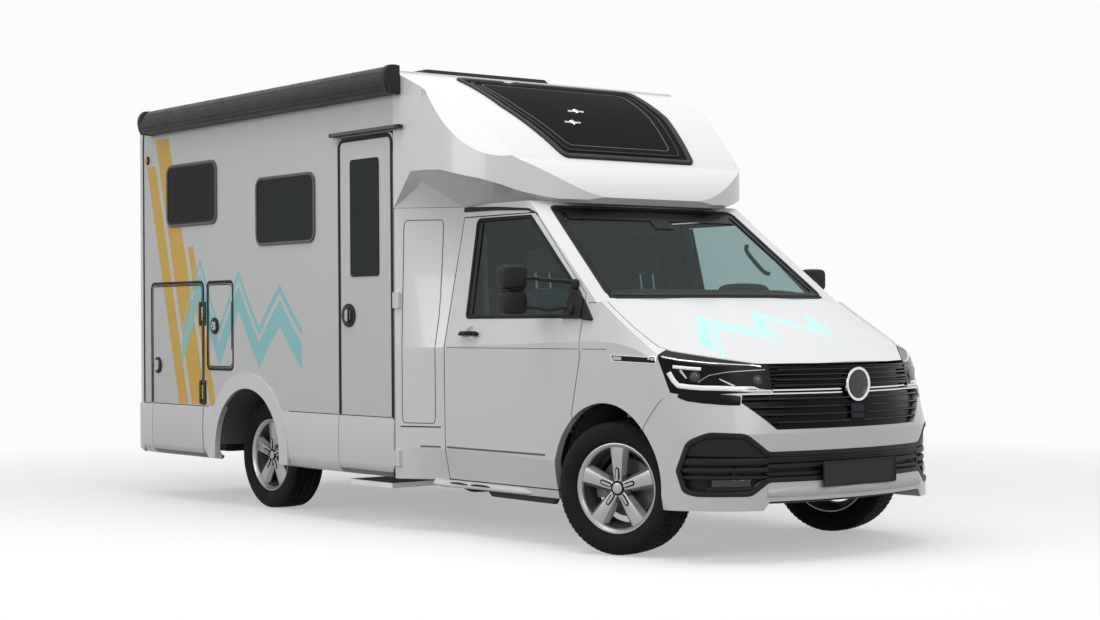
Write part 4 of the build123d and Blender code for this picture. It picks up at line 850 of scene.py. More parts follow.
for name, x0, x1 in (("front", 0.372, 0.418), ("rear", -2.674, -2.630)):
    rings = [awning_profile(grow, x) for grow, x in ((1.0, x0), (1.035, x0 + 0.004), (1.035, x1 - 0.004), (1.0, x1))]
    piece("awning_cap_" + name, loft(rings), "black_plastic", "anthracite", angle=40)
awning_tree = surface("awning")
for k, z in enumerate((2.533, 2.556, 2.640)):
    path = [hit(awning_tree, (x, -2.0, z), (0, 1, 0)) for x in (-2.63, -1.6, -0.6, 0.37)]
    ribbon(f"awning_line_{k}", path, 0.004, 0.0008, "rubber", "anthracite", on=awning_tree)
piece("door_lamp_strip", plate_lists(side_rect(-0.27, 0.41, 2.3195, 2.3335, -1.1220), RIGHT, 0.0015), "frame_line",
      "lamp_glass")

SKYLIGHT = ((0.386, -0.676), (0.78, -0.636), (1.174, -0.492), (1.174, 0.492), (0.78, 0.636), (0.386, 0.676))


def skylight_path(inset, radius, tree):
    """The skylight's outline drawn in towards its middle, laid on the roof."""
    cx = sum(x for x, _ in SKYLIGHT) / len(SKYLIGHT)
    cy = sum(y for _, y in SKYLIGHT) / len(SKYLIGHT)
    shrunk = [(x + (cx - x) / math.hypot(cx - x, cy - y) * inset, y + (cy - y) / math.hypot(cx - x, cy - y) * inset, 0)
              for x, y in SKYLIGHT]
    return top_hits(tree, [(p[0], p[1]) for p in dense(rounded(shrunk, radius), 0.05, closed=True)])


pane_tree = surface("skylight")
for name, inset, radius, tree, width, height, look in (
        ("frame", 0.010, 0.04, surface("roof_cap", "skylight"), 0.040, 0.012, "black_plastic"),
        ("inner_frame", 0.075, 0.05, pane_tree, 0.016, 0.005, "black_gloss"),
        ("inner_line", 0.135, 0.05, pane_tree, 0.006, 0.002, "frame_line")):
    ribbon("skylight_" + name, skylight_path(inset, radius, tree), width, height, look, "black_plastic", on=tree,
           closed=True)
for k, (x, y) in enumerate(((0.774, -0.079), (0.899, -0.205))):
    bar = top_hits(pane_tree, [(x, y - 0.06), (x, y - 0.02), (x, y + 0.02), (x, y + 0.06)])
    knob = top_hits(pane_tree, [(x - 0.012, y), (x + 0.02, y + 0.01)])
    piece(f"skylight_latch_{k}", merged(ribbon_lists(bar, 0.012, 0.008, on=pane_tree),
                                        ribbon_lists(knob, 0.03, 0.012, on=pane_tree)), "chrome", "bare_aluminium")

# ------------------------------------------------------------------ cab: window seals, sails, mirrors, handles
CAB_HALF = 0.952            # half width at the crease
CAB_LEAN = 0.205            # how much narrower the side grows for each metre up


def cab_side(z):
    """Half width of the cab side above its crease."""
    return CAB_HALF - (z - CREASE) * CAB_LEAN


def on_cab_side(points, side, lift=0.0):
    return [Vector((x, side * (cab_side(z) + lift), z)) for x, z in points]


DOOR_WINDOW = ((0.822, 1.229), (0.785, 1.780), (1.270, 1.780), (1.808, 1.340), (1.808, 1.229))
DOOR_SAIL = ((1.688, 1.216), (1.842, 1.216), (1.842, 1.318), (1.790, 1.362), (1.742, 1.400))
PILLAR_SAIL = ((1.851, 1.209), (1.930, 1.204), (1.938, 1.212), (1.851, 1.312))
MIRROR_X, MIRROR_Y = 1.530, 1.136
# columns: lower z, upper z, half height of the pane; upper and lower mirror
MIRROR_HEADS = ((1.372, 1.503, 0.048), (1.237, 1.366, 0.046))
MIRROR_ARMS = ((1.425, 1.400), (1.270, 1.262))      # z at the head, z at the sail
HANDLE_Z = 1.137


def mirror_arm(side, z0, z1):
    root = on_cab_side(((1.770, z1),), side, 0.010)[0]
    path = [(1.545, side * 1.100, z0), (1.585, side * 1.045, z0 + 0.006), (1.660, side * 0.985, z0 - 0.006),
            (1.730, root.y + side * 0.030, z1 + 0.012), tuple(root)]
    knob = Vector((1.762, root.y + side * 0.008, z1))
    return [tube_lists(smooth_path(path), 0.0125, 14, 0.75), blob_lists(knob, (0.024, 0.020, 0.026), 0.6, 12, 20)]


def mirror_pane(side, low, high, h):
    rows = ((-0.058, -h), (0.058, -h), (0.064, -h + 0.01), (0.064, h - 0.01), (0.058, h), (-0.058, h),
            (-0.064, h - 0.01), (-0.064, -h + 0.01))
    middle = (low + high) / 2
    return plate_lists([Vector((1.4865, side * MIRROR_Y + y, middle + z)) for y, z in rows], (-1, 0, 0), 0.003)


for side_name, side in SIDES.items():
    body = "cab_door_" + side_name
    out = Vector((0, side, CAB_LEAN)).normalized()
    ribbon("door_window_seal_" + side_name, rounded(on_cab_side(DOOR_WINDOW, side), 0.022), 0.020, 0.0030, "rubber",
           body=body, normal=out, closed=True, sink=0.006)
    rear = on_cab_side(((0.850, 1.245), (0.818, 1.765)), side, -0.002)
    ribbon("door_window_guide_" + side_name, rear, 0.030, 0.001, "black_plastic", body=body, normal=out)
    plate("mirror_sail_" + side_name, on_cab_side(DOOR_SAIL, side), out, 0.014, "black_plastic", body=body,
          bevel=0.003)
    plate("pillar_sail_" + side_name, on_cab_side(PILLAR_SAIL, side, -0.002), out, 0.014, "black_plastic",
          bevel=0.003)

    # the two-part mirror: rounded shells, glass behind, arms to the sail
    shells = [blob_lists((MIRROR_X, side * MIRROR_Y, (low + high) / 2), (0.046, 0.078, (high - low) / 2), 0.42)
              for low, high, _ in MIRROR_HEADS]
    arms = [part for z0, z1 in MIRROR_ARMS for part in mirror_arm(side, z0, z1)]
    head = piece("mirror_head_" + side_name, merged(*shells, *arms), "black_plastic", body=body, angle=50)
    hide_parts("mirror_" + side_name)
    panes = [mirror_pane(side, *row) for row in MIRROR_HEADS]
    piece("mirror_glass_" + side_name, merged(*panes), "mirror_glass", body=body)
    lamp = [(1.570, side * 1.176, 1.372), (1.574, side * 1.130, 1.372), (1.570, side * 1.085, 1.372)]
    ribbon("mirror_lamp_" + side_name, lamp, 0.012, 0.004, "black_gloss", "lamp_glass", body, normal=(1, 0, 0))

    # door handle: shallow silver bowl with a black bar across
    bowl = on_cab_side([(0.882 + 0.042 * c, HANDLE_Z + 0.040 * s) for c, s in circle(32)], side)
    plate("handle_bowl_" + side_name, [p + out * 0.0006 for p in bowl], out, 0.0012, "steel", "white_paint", body,
          0.0006)
    a, b = on_cab_side(((0.808, HANDLE_Z), (0.956, HANDLE_Z)), side, 0.020)
    bar = tube_lists([a - out * 0.014, a, a.lerp(b, 0.08) + out * 0.006, a.lerp(b, 0.92) + out * 0.006, b,
                      b - out * 0.014], [0.010, 0.014, 0.0145, 0.0145, 0.014, 0.010], 18, 0.7)
    piece("cab_door_handle_" + side_name, bar, "black_gloss", "black_plastic", body, angle=50)

shell_tree = surface("cab_shell")
both_sides("cab_gutter", [(0.640, -0.790, 1.846), (0.95, -0.794, 1.838), (1.240, -0.806, 1.822),
                          (1.330, -0.818, 1.790)], 0.030, 0.006, "black_plastic", taper=(1.0, 0.35))
both_sides("pillar_joint", [(1.880, -0.905, 1.298), (1.940, -0.902, 1.299), (1.990, -0.890, 1.300)], 0.0035, 0.0006,
           "rubber")
both_sides("bumper_joint", [(2.508, -0.893, 0.860), (2.436, -0.926, 0.783), (2.362, -0.940, 0.690),
                            (2.330, -0.941, 0.640), (2.300, -0.944, 0.605)], 0.0035, 0.0006, "rubber",
           tree=surface("front_bumper", "cab_shell"))
both_sides("badge_frame", [(2.095, -0.943, 1.030), (2.428, -0.928, 1.020), (2.436, -0.930, 0.990),
                           (2.118, -0.943, 0.998), (2.095, -0.943, 1.030)], 0.005, 0.002, "chrome")
both_sides("badge_field", [(2.112, -0.943, 1.014), (2.428, -0.929, 1.005)], 0.026, 0.0012, "black_gloss")
both_sides("badge_bright", [(2.118, -0.943, 1.014), (2.185, -0.943, 1.012)], 0.018, 0.0020, "steel", "black_gloss")
# grey strips along the crease below the windows: painted shade in the fold
for side_name, side in SIDES.items():
    door = "cab_door_" + side_name
    for part, tree, body, x0, x1 in (("door", surface(door), door, 0.672, 1.835),
                                     ("wing", shell_tree, "van_body", 1.875, 2.070)):
        spots = [hit(tree, (x, side * 3.0, CREASE), (0, -side, 0)) for x in steps_between(x0, x1, 16)]
        piece(f"crease_{part}_{side_name}", strip_on(tree, spots, 0.0045, 0.0007), "crease_grey", body=body, angle=50)

# ------------------------------------------------------------------ windscreen: rubber edge, print, wipers, cowl
screen_tree = surface("windscreen")
glass_tree = surface("windscreen", "cab_shell")
SCREEN_LOW, SCREEN_TOP = (0.800, 1.322), (0.684, 1.838)     # half width and z at the foot and the top


def screen_path(inset_side, inset_top, inset_low, tree):
    low, high = SCREEN_LOW[0] - inset_side, SCREEN_TOP[0] - inset_side
    z0, z1 = SCREEN_LOW[1] + inset_low, SCREEN_TOP[1] - inset_top
    corners = [(0, -low, z0), (0, low, z0), (0, high, z1), (0, -high, z1)]
    return front_hits(tree, [(p.y, p.z) for p in dense(rounded(corners, 0.03), 0.05, closed=True)])


def screen_band(z, ys):
    return front_hits(screen_tree, [(y, z) for y in ys])


ribbon("windscreen_seal", screen_path(0.001, 0.002, 0.001, glass_tree), 0.018, 0.0045, "rubber", on=glass_tree,
       closed=True, sink=0.006)
ribbon("windscreen_print_side", screen_path(0.022, 0.022, 0.020, screen_tree), 0.040, 0.0004, "black_gloss",
       on=screen_tree, closed=True, sink=0.0001)
ribbon("windscreen_print_top", dense(screen_band(1.786, (-0.62, -0.4, -0.2, 0, 0.2, 0.4, 0.62)), 0.05), 0.060, 0.0004,
       "black_gloss", on=screen_tree, sink=0.0001)
ribbon("windscreen_sensor", screen_band(1.752, (-0.07, 0.0, 0.07)), 0.10, 0.0005, "black_gloss", on=screen_tree,
       sink=0.0001)


def wiper(name, pivot, tip, heel):
    """Arm from its pivot on the cowl to the middle of a blade that lies along the glass."""
    a, b = front_hits(screen_tree, [heel, tip])
    up = screen_tree.find_nearest((a + b) / 2)[1]
    line = [(heel[0] + (tip[0] - heel[0]) * t, heel[1] + (tip[1] - heel[1]) * t) for t in (0, 0.25, 0.5, 0.75, 1)]
    blade = [q + up * 0.016 for q in front_hits(screen_tree, line)]
    middle = blade[2] + up * 0.008
    p = Vector(pivot)
    arm = tube_lists([p, p + up * 0.018, p.lerp(middle, 0.25) + up * 0.018, middle + up * 0.002],
                     [0.013, 0.012, 0.009, 0.006], 12, 0.6)
    knob = blob_lists(p + up * 0.010, (0.018, 0.018, 0.014), 0.7, 10, 18)
    piece(name, merged(tube_lists(blade, 0.0075, 10, 0.7), arm, knob), "black_plastic", angle=50)


wiper("wiper_right", (1.972, -0.10, 1.322), (-0.735, 1.350), (-0.130, 1.345))
wiper("wiper_left", (1.966, 0.46, 1.322), (-0.060, 1.352), (0.600, 1.348))
ribbon("cowl_strip", screen_band(1.342, [-0.775 + 1.55 * k / 30 for k in range(31)]), 0.026, 0.004, "black_plastic",
       on=screen_tree)

# ------------------------------------------------------------------ sills and the fairing's outlined panel
FAIRING_X0, FAIRING_LONG = 0.350, 0.285
SILL_PATH = ((0.560, 0.952, 0.292), (0.640, 0.925, 0.283), (0.80, 0.915, 0.284), (1.10, 0.914, 0.286),
             (1.32, 0.912, 0.284), (1.40, 0.908, 0.276))
SILL_RADII = [0.024] * 20 + [0.022, 0.018, 0.014, 0.010, 0.006, 0.003]
SLOT_TAPER = [0.3, 0.7, 0.9, 1, 1, 1, 1, 0.9, 0.8, 0.6, 0.25]
fair_tree = surface("fairings", "roof_cap")


def on_fairing(points, side):
    """Points (share across, z) met square on the slanted panel beside the living box."""
    out = []
    for t, z in points:
        front = cab_side(z) if z > CREASE else CAB_HALF
        n = Vector((WALL_Y - front, side * FAIRING_LONG, 0)).normalized()
        start = Vector((FAIRING_X0 + FAIRING_LONG * t, side * (WALL_Y + (front - WALL_Y) * t), z))
        out.append((hit(fair_tree, start + n * 0.3, -n), n))
    return out


for side_name, side in SIDES.items():
    out = Vector((0, side, 0))
    sill = smooth_path([(x, side * y, z) for x, y, z in SILL_PATH], 5)
    piece("sill_moulding_" + side_name, tube_lists(sill, SILL_RADII, 18, 0.62), "white_paint", angle=60)
    for k, (x0, x1) in enumerate(((0.672, 0.842), (0.872, 1.050))):
        slot = [(x0, side * 0.935, 0.289), (x0 * 0.5 + x1 * 0.5, side * 0.9355, 0.2905), (x1, side * 0.933, 0.286)]
        ribbon(f"sill_slot_{k}_{side_name}", smooth_path(slot, 5), 0.010, 0.001, "rubber", normal=out, sink=0.004,
               taper=SLOT_TAPER)
    strip = [Vector((x, side * 0.893, z)) - out * 0.02
             for x, z in ((0.98, 0.262), (1.02, 0.232), (1.575, 0.228), (1.60, 0.262))]
    plate("sill_strip_" + side_name, strip, out, 0.026, "black_plastic", bevel=0.004)

    panel = [(t, 0, z) for t, z in ((0.14, 0.625), (0.84, 0.625), (0.84, 1.25), (0.72, 1.790), (0.14, 1.790))]
    loop = [(p.x, p.z) for p in dense(rounded(panel, 0.05), 0.05, closed=True)]
    spot_ribbon("fairing_outline_" + side_name, on_fairing(loop, side), 0.0055, 0.0010, "seam_grey", closed=True)
    spot_ribbon("fairing_foot_" + side_name, on_fairing([(0.10 + 0.085 * k, 0.604) for k in range(11)], side), 0.007,
                0.0012, "rubber")
    # grey rub lines, here and on the door below: painted shade in the groove
    spot_ribbon("rub_line_rear_" + side_name, on_fairing([(0.52 + 0.06 * k, 0.492) for k in range(8)], side), 0.010,
                0.0012, "seam_grey")
    door = "cab_door_" + side_name
    rub = dense([(0.665, side * 0.950, 0.492), (1.560, side * 0.950, 0.492)], 0.10)
    ribbon("rub_line_" + side_name, rub, 0.011, 0.001, "seam_grey", "white_paint", door, on=surface(door))

# ------------------------------------------------------------------ nose: lamps
lamp_tree = surface("headlamps")
skin_tree = surface("front_bumper")
# columns: name, right-hand path, width, height, look, width share at the start and the end
for name, path, width, height, look, taper in (
        ("light_line_low", ((2.490, -0.896, 0.945), (2.512, -0.884, 0.905), (2.533, -0.871, 0.880),
                            (2.580, -0.830, 0.872), (2.620, -0.793, 0.868), (2.727, -0.660, 0.862),
                            (2.775, -0.560, 0.858), (2.795, -0.505, 0.856)), 0.024, 0.004, "lamp_white", None),
        ("light_line_up", ((2.503, -0.880, 0.973), (2.560, -0.832, 0.966), (2.605, -0.784, 0.961)), 0.016, 0.004,
         "lamp_white", None),
        ("light_line_diagonal", ((2.533, -0.858, 0.956), (2.560, -0.841, 0.915)), 0.014, 0.003, "steel", (1.0, 0.6)),
        ("light_line_inner", ((2.670, -0.723, 0.912), (2.721, -0.667, 0.875)), 0.012, 0.003, "steel", (0.5, 1.0)),
        ("lamp_top_chrome", ((2.455, -0.911, 1.024), (2.516, -0.855, 1.007), (2.629, -0.726, 0.990),
                             (2.770, -0.535, 0.970)), 0.008, 0.003, "chrome", (1.5, 0.6)),
        ("lamp_arc", ((2.604, -0.804, 0.895), (2.620, -0.780, 0.915), (2.636, -0.759, 0.930), (2.688, -0.686, 0.945),
                      (2.785, -0.520, 0.955)), 0.0035, 0.002, "steel", None)):
    both_sides(name, path, width, height, look, "lamp_glass", lamp_tree, taper, 0.02)


def lens_ring(name, x, y, z, radius, look, dome):
    """Round projector on both lamp faces, from rows of radius share and lift."""
    lists = []
    for side in (-1, 1):
        spot, up = lamp_tree.find_nearest(Vector((x, side * y, z)))[:2]
        u = up.orthogonal().normalized()
        v = up.cross(u)
        lists.append(loft([[spot + (u * c + v * s) * radius * share + up * lift for c, s in circle(36)]
                           for share, lift in dome]))
    piece(name, merged(*lists), look, "lamp_glass", angle=50)


BEZEL = ((1.0, -0.004), (1.0, 0.002), (0.94, 0.004), (0.84, 0.003), (0.80, -0.001))
DOME = ((0.82, -0.002), (0.72, 0.003), (0.5, 0.006), (0.25, 0.0075), (0.03, 0.008))
for k, place in enumerate(((2.590, 0.811, 0.925, 0.026), (2.775, 0.560, 0.905, 0.024))):
    lens_ring(f"projector_ring_{k}", *place, "frame_line", BEZEL)
    lens_ring(f"projector_lens_{k}", *place, "clear_lens", DOME)

UNDERLINE = ((-0.888, 0.842), (-0.872, 0.830), (-0.850, 0.822), (-0.800, 0.816), (-0.740, 0.811), (-0.700, 0.808),
             (-0.672, 0.806), (-0.655, 0.804))
lists = [strip_on(skin_tree, front_hits(skin_tree, [(side * y, z) for y, z in UNDERLINE]), 0.052, 0.003,
                  taper=[0.15, 0.45, 0.7, 0.9, 1.0, 1.0, 0.95, 0.85]) for side in (1, -1)]
piece("lamp_underline", merged(*lists), "black_gloss", angle=50)

# ------------------------------------------------------------------ nose: grille, plain disc in a ring, sensor window
grille_tree = surface("grille")
nose_tree = surface("front_bumper", "headlamps", "grille", "lower_intake")
EMBLEM = Vector((2.922, 0, 0.875))
EMBLEM_CLEAR = 0.11         # half width that the grille lines leave out behind the emblem


def grille_ribbon(name, tree, half, z, reach, width, height, sink, look):
    """Strip across the grille, straight behind the emblem, at the height of its foremost bars."""
    path = []
    for y in (half * t / 16 for t in range(-16, 17)):
        if abs(y) >= EMBLEM_CLEAR:
            spots = (hit(tree, (6.0, y, z + dz), (-1, 0, 0)) for dz in (-reach, 0.0, reach))
            path.append(max(spots, key=lambda p: p.x).xy.to_3d() + Vector((0, 0, z)))
    normals = []
    for i in range(len(path)):
        n = (path[min(i + 1, len(path) - 1)] - path[max(i - 1, 0)]).cross(Vector((0, 0, 1)))
        normals.append((n if n.x > 0 else -n).normalized())
    ribbon(name, path, width, height, look, normal=normals, sink=sink)


for k, (z, width, half) in enumerate(((0.853, 0.010, 0.640), (0.836, 0.009, 0.650))):
    grille_ribbon(f"grille_chrome_{k}", nose_tree, half, z, 0.012, width, 0.007, 0.006, "chrome")
for k, (z, half) in enumerate(((0.878, 0.485), (0.904, 0.480), (0.930, 0.470), (0.955, 0.460), (0.6945, 0.50),
                               (0.7325, 0.545), (0.7705, 0.585), (0.8105, 0.625))):
    grille_ribbon(f"grille_bar_{k}", grille_tree, half, z, 0.014, 0.0070, 0.004, 0.008, "grille_bar")
for name, look, rows in (
        ("emblem_ring", "chrome", ((0.0700, 0.004), (0.0710, -0.002), (0.0870, -0.002), (0.0885, 0.004),
                                   (0.0860, 0.0105), (0.0800, 0.0125), (0.0730, 0.0100))),
        ("emblem_disc", "emblem_face", ((0.0001, 0.0065), (0.040, 0.0060), (0.0660, 0.0040), (0.0715, 0.0010),
                                        (0.0715, -0.001), (0.0001, -0.001)))):
    place = Matrix.Translation(EMBLEM) @ Matrix.Rotation(math.pi / 2, 4, "Z")
    piece(name, lathe([(r, -y) for r, y in rows], 72), look, place=place, angle=40)
plate("sensor_window", end_rect(2.914, -0.045, 0.045, 0.702, 0.778), (1, 0, 0), 0.012, "sensor")

# ------------------------------------------------------------------ bumper: dark openings, ribs, fog lamps, skid panel
INTAKE_SIDE = ((0.555, 0.412), (0.640, 0.345), (0.840, 0.345), (0.870, 0.360), (0.885, 0.460), (0.860, 0.600),
               (0.800, 0.640), (0.660, 0.632), (0.555, 0.540))
FLAT_Z = 0.645              # the bumper is whole across at this height, and upright below it
PROFILE_HALF, PROFILE_STEPS = 0.94, 47
PROFILE_STEP = PROFILE_HALF / PROFILE_STEPS
PROFILE = [(y, hit(skin_tree, (6.0, -y, FLAT_Z), (-1, 0, 0)).x)
           for y in (PROFILE_HALF * k / PROFILE_STEPS for k in range(PROFILE_STEPS))]


def bay_point(y, z):
    """Point on the bumper's outer face below its fold, and the face's normal there."""
    a = min(abs(y), PROFILE[-1][0] - 0.001)
    k = int(a / PROFILE_STEP)
    (y0, x0), (y1, x1) = PROFILE[k], PROFILE[min(k + 1, PROFILE_STEPS - 1)]
    slope = (x1 - x0) / max(y1 - y0, 1e-6)
    n = Vector((1, -slope * (1 if y > 0 else -1), 0)).normalized()
    return Vector((x0 + slope * (a - y0), y, z)), n


def bay_section(y, rows):
    """Points (out, z) on the section through the bumper at y."""
    p, n = bay_point(y, 0.0)
    return [p + n * out + Vector((0, 0, z)) for out, z in rows]


BAR = ((0, -0.5), (0.8, -0.5), (1, -0.3), (1, 0.3), (0.8, 0.5), (0, 0.5))


def bay_strip(ys, z0, z1, depth, width, thick):
    """Bar along the opening between two half widths, following the bumper's curve."""
    rings = []
    for y in ys:
        z = z0 + (z1 - z0) * (abs(y) - abs(ys[0])) / max(1e-6, abs(ys[-1]) - abs(ys[0]))
        p, n = bay_point(y, z)
        rings.append([p - n * depth + n * a * thick + Vector((0, 0, b * width)) for a, b in BAR])
    return loft(rings)


outline = [(0, y, z) for y, z in INTAKE_SIDE] + [(0, -y, z) for y, z in reversed(INTAKE_SIDE)]
edge = [bay_point(p.y, p.z) for p in dense(rounded(outline, 0.06), 0.02, closed=True)]
spot_ribbon("intake_edge", edge, 0.024, 0.0035, "black_plastic", closed=True, sink=0.016)
bars, fogs, fog_frames = [], [], []
for side in (-1, 1):
    ys = [side * (0.552 + 0.325 * k / 14) for k in range(15)]
    bars.append(bay_strip(ys, 0.575, 0.585, 0.022, 0.100, 0.012))
    bars += [bay_strip(ys, z, z, 0.022, w, 0.014) for z, w in ((0.505, 0.030), (0.462, 0.022), (0.425, 0.016))]
    bars.append(bay_strip(ys[:12], 0.368, 0.368, 0.022, 0.030, 0.012))
    fogs.append(bay_strip([side * (0.640 + 0.150 * k / 8) for k in range(9)], 0.400, 0.398, 0.012, 0.034, 0.010))
    fog_frames.append(bay_strip([side * (0.625 + 0.180 * k / 8) for k in range(9)], 0.400, 0.398, 0.024, 0.056,
                                0.014))
ys = [-0.552 + 1.104 * k / 30 for k in range(31)]
bars += [bay_strip(ys, z, z, 0.020, w, 0.013) for z, w in ((0.520, 0.026), (0.478, 0.020), (0.437, 0.018))]
piece("intake_bars", merged(*bars), "black_plastic", angle=40)
piece("fog_lamp_frames", merged(*fog_frames), "black_gloss", "black_plastic", angle=40)
piece("fog_lamps", merged(*fogs), "fog_glass", angle=40)

SKID_HALF = 0.560
skid = []
for k in range(41):
    y = -SKID_HALF + 1.120 * k / 40
    top = 0.372 - 0.010 * (1 - min(1.0, (SKID_HALF - abs(y)) / 0.10))
    skid.append(bay_section(y, ((0.004, top), (0.010, 0.352), (0.006, 0.330), (-0.010, 0.316), (-0.030, 0.316),
                                (-0.030, 0.372))))
piece("skid_panel", loft(skid), "skid_silver", angle=40)
LIP = ((-0.012, 0.316), (-0.020, 0.296), (-0.070, 0.288), (-0.070, 0.312))
piece("skid_lip", loft([bay_section(-0.600 + 1.200 * k / 44, LIP) for k in range(45)]), "black_plastic", angle=40)
for name, x, z0, z1, face in (("front", 2.941, 0.373, 0.490, 1), ("rear", -2.904, 0.700, 0.816, -1)):
    ribbon(name + "_plate_frame", rounded(end_rect(x, -0.262, 0.262, z0, z1), 0.008), 0.010, 0.003, "black_plastic",
           "plate", normal=(face, 0, 0), closed=True, sink=0.006)

# ------------------------------------------------------------------ cab inside
SEAT_VOXEL = 0.016
SEAT_CAP = 0.020            # farthest that the cloth run may move a point
SEAT_Y = 0.400


def seat_pads():
    """Closed forms of one seat's upholstery about y = 0, a little smaller than the padding they become."""
    lean = Matrix.Rotation(math.radians(-11), 3, "Y")
    pads = [blob_lists((1.145, 0.0, 0.868), (0.222, 0.185, 0.052), 0.38),
            blob_lists((0.945, 0.0, 1.168), (0.044, 0.172, 0.250), 0.42, turn=lean),
            blob_lists((0.850, 0.0, 1.548), (0.030, 0.108, 0.068), 0.5, turn=lean)]
    for s in (-1, 1):
        pads.append(blob_lists((1.135, s * 0.195, 0.880), (0.200, 0.030, 0.052), 0.5))
        pads.append(blob_lists((0.962, s * 0.178, 1.158), (0.048, 0.032, 0.215), 0.5, turn=lean))
    return merged(*pads)


def swollen(lists, voxel, cap):
    """Closed forms remeshed as one skin, blown up by a short cloth run; no point moves past the cap."""
    mesh = bpy.data.meshes.new("padding")
    mesh.from_pydata([tuple(v) for v in lists[0]], [], lists[1])
    o = bpy.data.objects.new("padding", mesh)
    bpy.context.scene.collection.objects.link(o)
    bpy.context.view_layer.objects.active = o
    remesh = o.modifiers.new("remesh", "REMESH")
    remesh.mode = "VOXEL"
    remesh.voxel_size = voxel
    bpy.ops.object.modifier_apply(modifier="remesh")
    start = [v.co.copy() for v in o.data.vertices]
    run = o.modifiers.new("cloth", "CLOTH")
    run.settings.use_pressure = True
    run.settings.uniform_pressure_force = 4.0
    run.settings.effector_weights.gravity = 0.0
    for k in range(1, 21):
        bpy.context.scene.frame_set(k)
    shape = o.evaluated_get(bpy.context.evaluated_depsgraph_get())
    moved = [v.co.copy() for v in shape.data.vertices]
    o.modifiers.remove(run)
    bpy.context.scene.frame_set(1)
    for v, a, b in zip(o.data.vertices, start, moved):
        step = b - a
        v.co = a + step * min(1.0, cap / max(step.length, 1e-9))
    smooth = o.modifiers.new("smooth", "SUBSURF")
    smooth.levels = smooth.render_levels = 1
    bpy.ops.object.modifier_apply(modifier="smooth")
    verts = [v.co.copy() for v in o.data.vertices]
    faces = [tuple(f.vertices) for f in o.data.polygons]
    bpy.data.objects.remove(o)
    return verts, faces


def both_seats(lists):
    """The same lists at the right and the left seat."""
    return merged(*[([Vector((v[0], v[1] + dy, v[2])) for v in lists[0]], lists[1]) for dy in (-SEAT_Y, SEAT_Y)])


padding = swollen(seat_pads(), SEAT_VOXEL, SEAT_CAP)
pads = piece("seat_pads", both_seats(padding), "seat_cloth", angle=70)
pad_tree = BVHTree.FromPolygons(*padding)
DOWN, BACK = (0, 0, -1), (-1, 0, 0)
seams = []
for s in (-1, 1):
    for rows, direction in (([(0.99 + 0.35 * k / 12, s * 0.155, 1.5) for k in range(13)], DOWN),
                            ([(2.0, s * 0.138, 0.96 + 0.40 * k / 12) for k in range(13)], BACK)):
        seams.append(strip_on(pad_tree, [hit(pad_tree, p, direction) for p in rows], 0.007, 0.0025))
for rows, direction in (*[([(2.0, -0.13 + 0.26 * k / 8, z) for k in range(9)], BACK) for z in (1.06, 1.16, 1.26)],
                        *[([(x, -0.15 + 0.30 * k / 8, 1.5) for k in range(9)], DOWN) for x in (1.06, 1.16, 1.26)]):
    seams.append(strip_on(pad_tree, [hit(pad_tree, p, direction) for p in rows], 0.006, 0.0015))
piece("seat_seams", both_seats(merged(*seams)), "seam_grey", "seat_fabric", angle=50)
frames = []
for y in (-SEAT_Y, SEAT_Y):
    frames.append(blob_lists((1.135, y, 0.705), (0.200, 0.190, 0.105), 0.2, 12, 24))
    for s in (-0.05, 0.05):
        frames.append(rod_lists(Vector((0.870, y + s, 1.380)), Vector((0.853, y + s, 1.500)), 0.007, 12))
base = piece("seat_bases", merged(*frames), "steel", "seat_fabric", angle=40)
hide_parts("cab_seats")

COLUMN_LEAN = math.radians(21)
hub = Vector((1.480, 0.400, 1.128))
wheel_up = Vector((-math.cos(COLUMN_LEAN), 0, math.sin(COLUMN_LEAN)))
airbag = blob_lists(hub + wheel_up * 0.022, (0.075, 0.062, 0.022), 0.6,
                    turn=wheel_up.to_track_quat("Z", "Y").to_matrix())
piece("airbag_cover", airbag, "interior", body="steering_wheel", angle=50)
binnacle = blob_lists((1.695, 0.400, 1.365), (0.078, 0.170, 0.045), 0.7)
dash_pad = blob_lists((1.735, 0.0, 1.292), (0.122, 0.780, 0.080), 0.35)
vents = [blob_lists((1.588, y, 1.120), (0.012, 0.070, 0.030), 0.3, 10, 20) for y in (-0.74, -0.16, 0.14, 0.74)]
piece("dash_details", merged(binnacle, dash_pad, *vents), "interior", angle=50)
plate("centre_screen", end_rect(1.572, -0.115, 0.115, 1.020, 1.150), (-1, 0, 0.25), 0.012, "black_gloss")
piece("inside_mirror", merged(blob_lists((1.300, 0.0, 1.715), (0.012, 0.115, 0.036), 0.5),
                              tube_lists([(1.305, 0, 1.73), (1.345, 0, 1.775)], 0.008)), "interior", angle=50)
visors = [blob_lists((1.255, y, 1.790), (0.075, 0.180, 0.010), 0.3, 10, 24) for y in (-0.40, 0.40)]
piece("sun_visors", merged(*visors), "lining", "white_gelcoat", angle=50)
for side_name, side in SIDES.items():
    belt = [(0.800, side * 0.775, 1.700), (0.840, side * 0.800, 1.420), (0.880, side * 0.815, 1.180)]
    ribbon("seat_belt_" + side_name, belt, 0.046, 0.002, "lining", "seat_fabric", normal=(0, side, 0.2))
    grab = smooth_path([(1.560, side * 0.745, 1.470), (1.530, side * 0.715, 1.490), (1.420, side * 0.700, 1.600),
                        (1.390, side * 0.725, 1.640)])
    piece("grab_handle_" + side_name, tube_lists(grab, 0.012), "interior", angle=50)

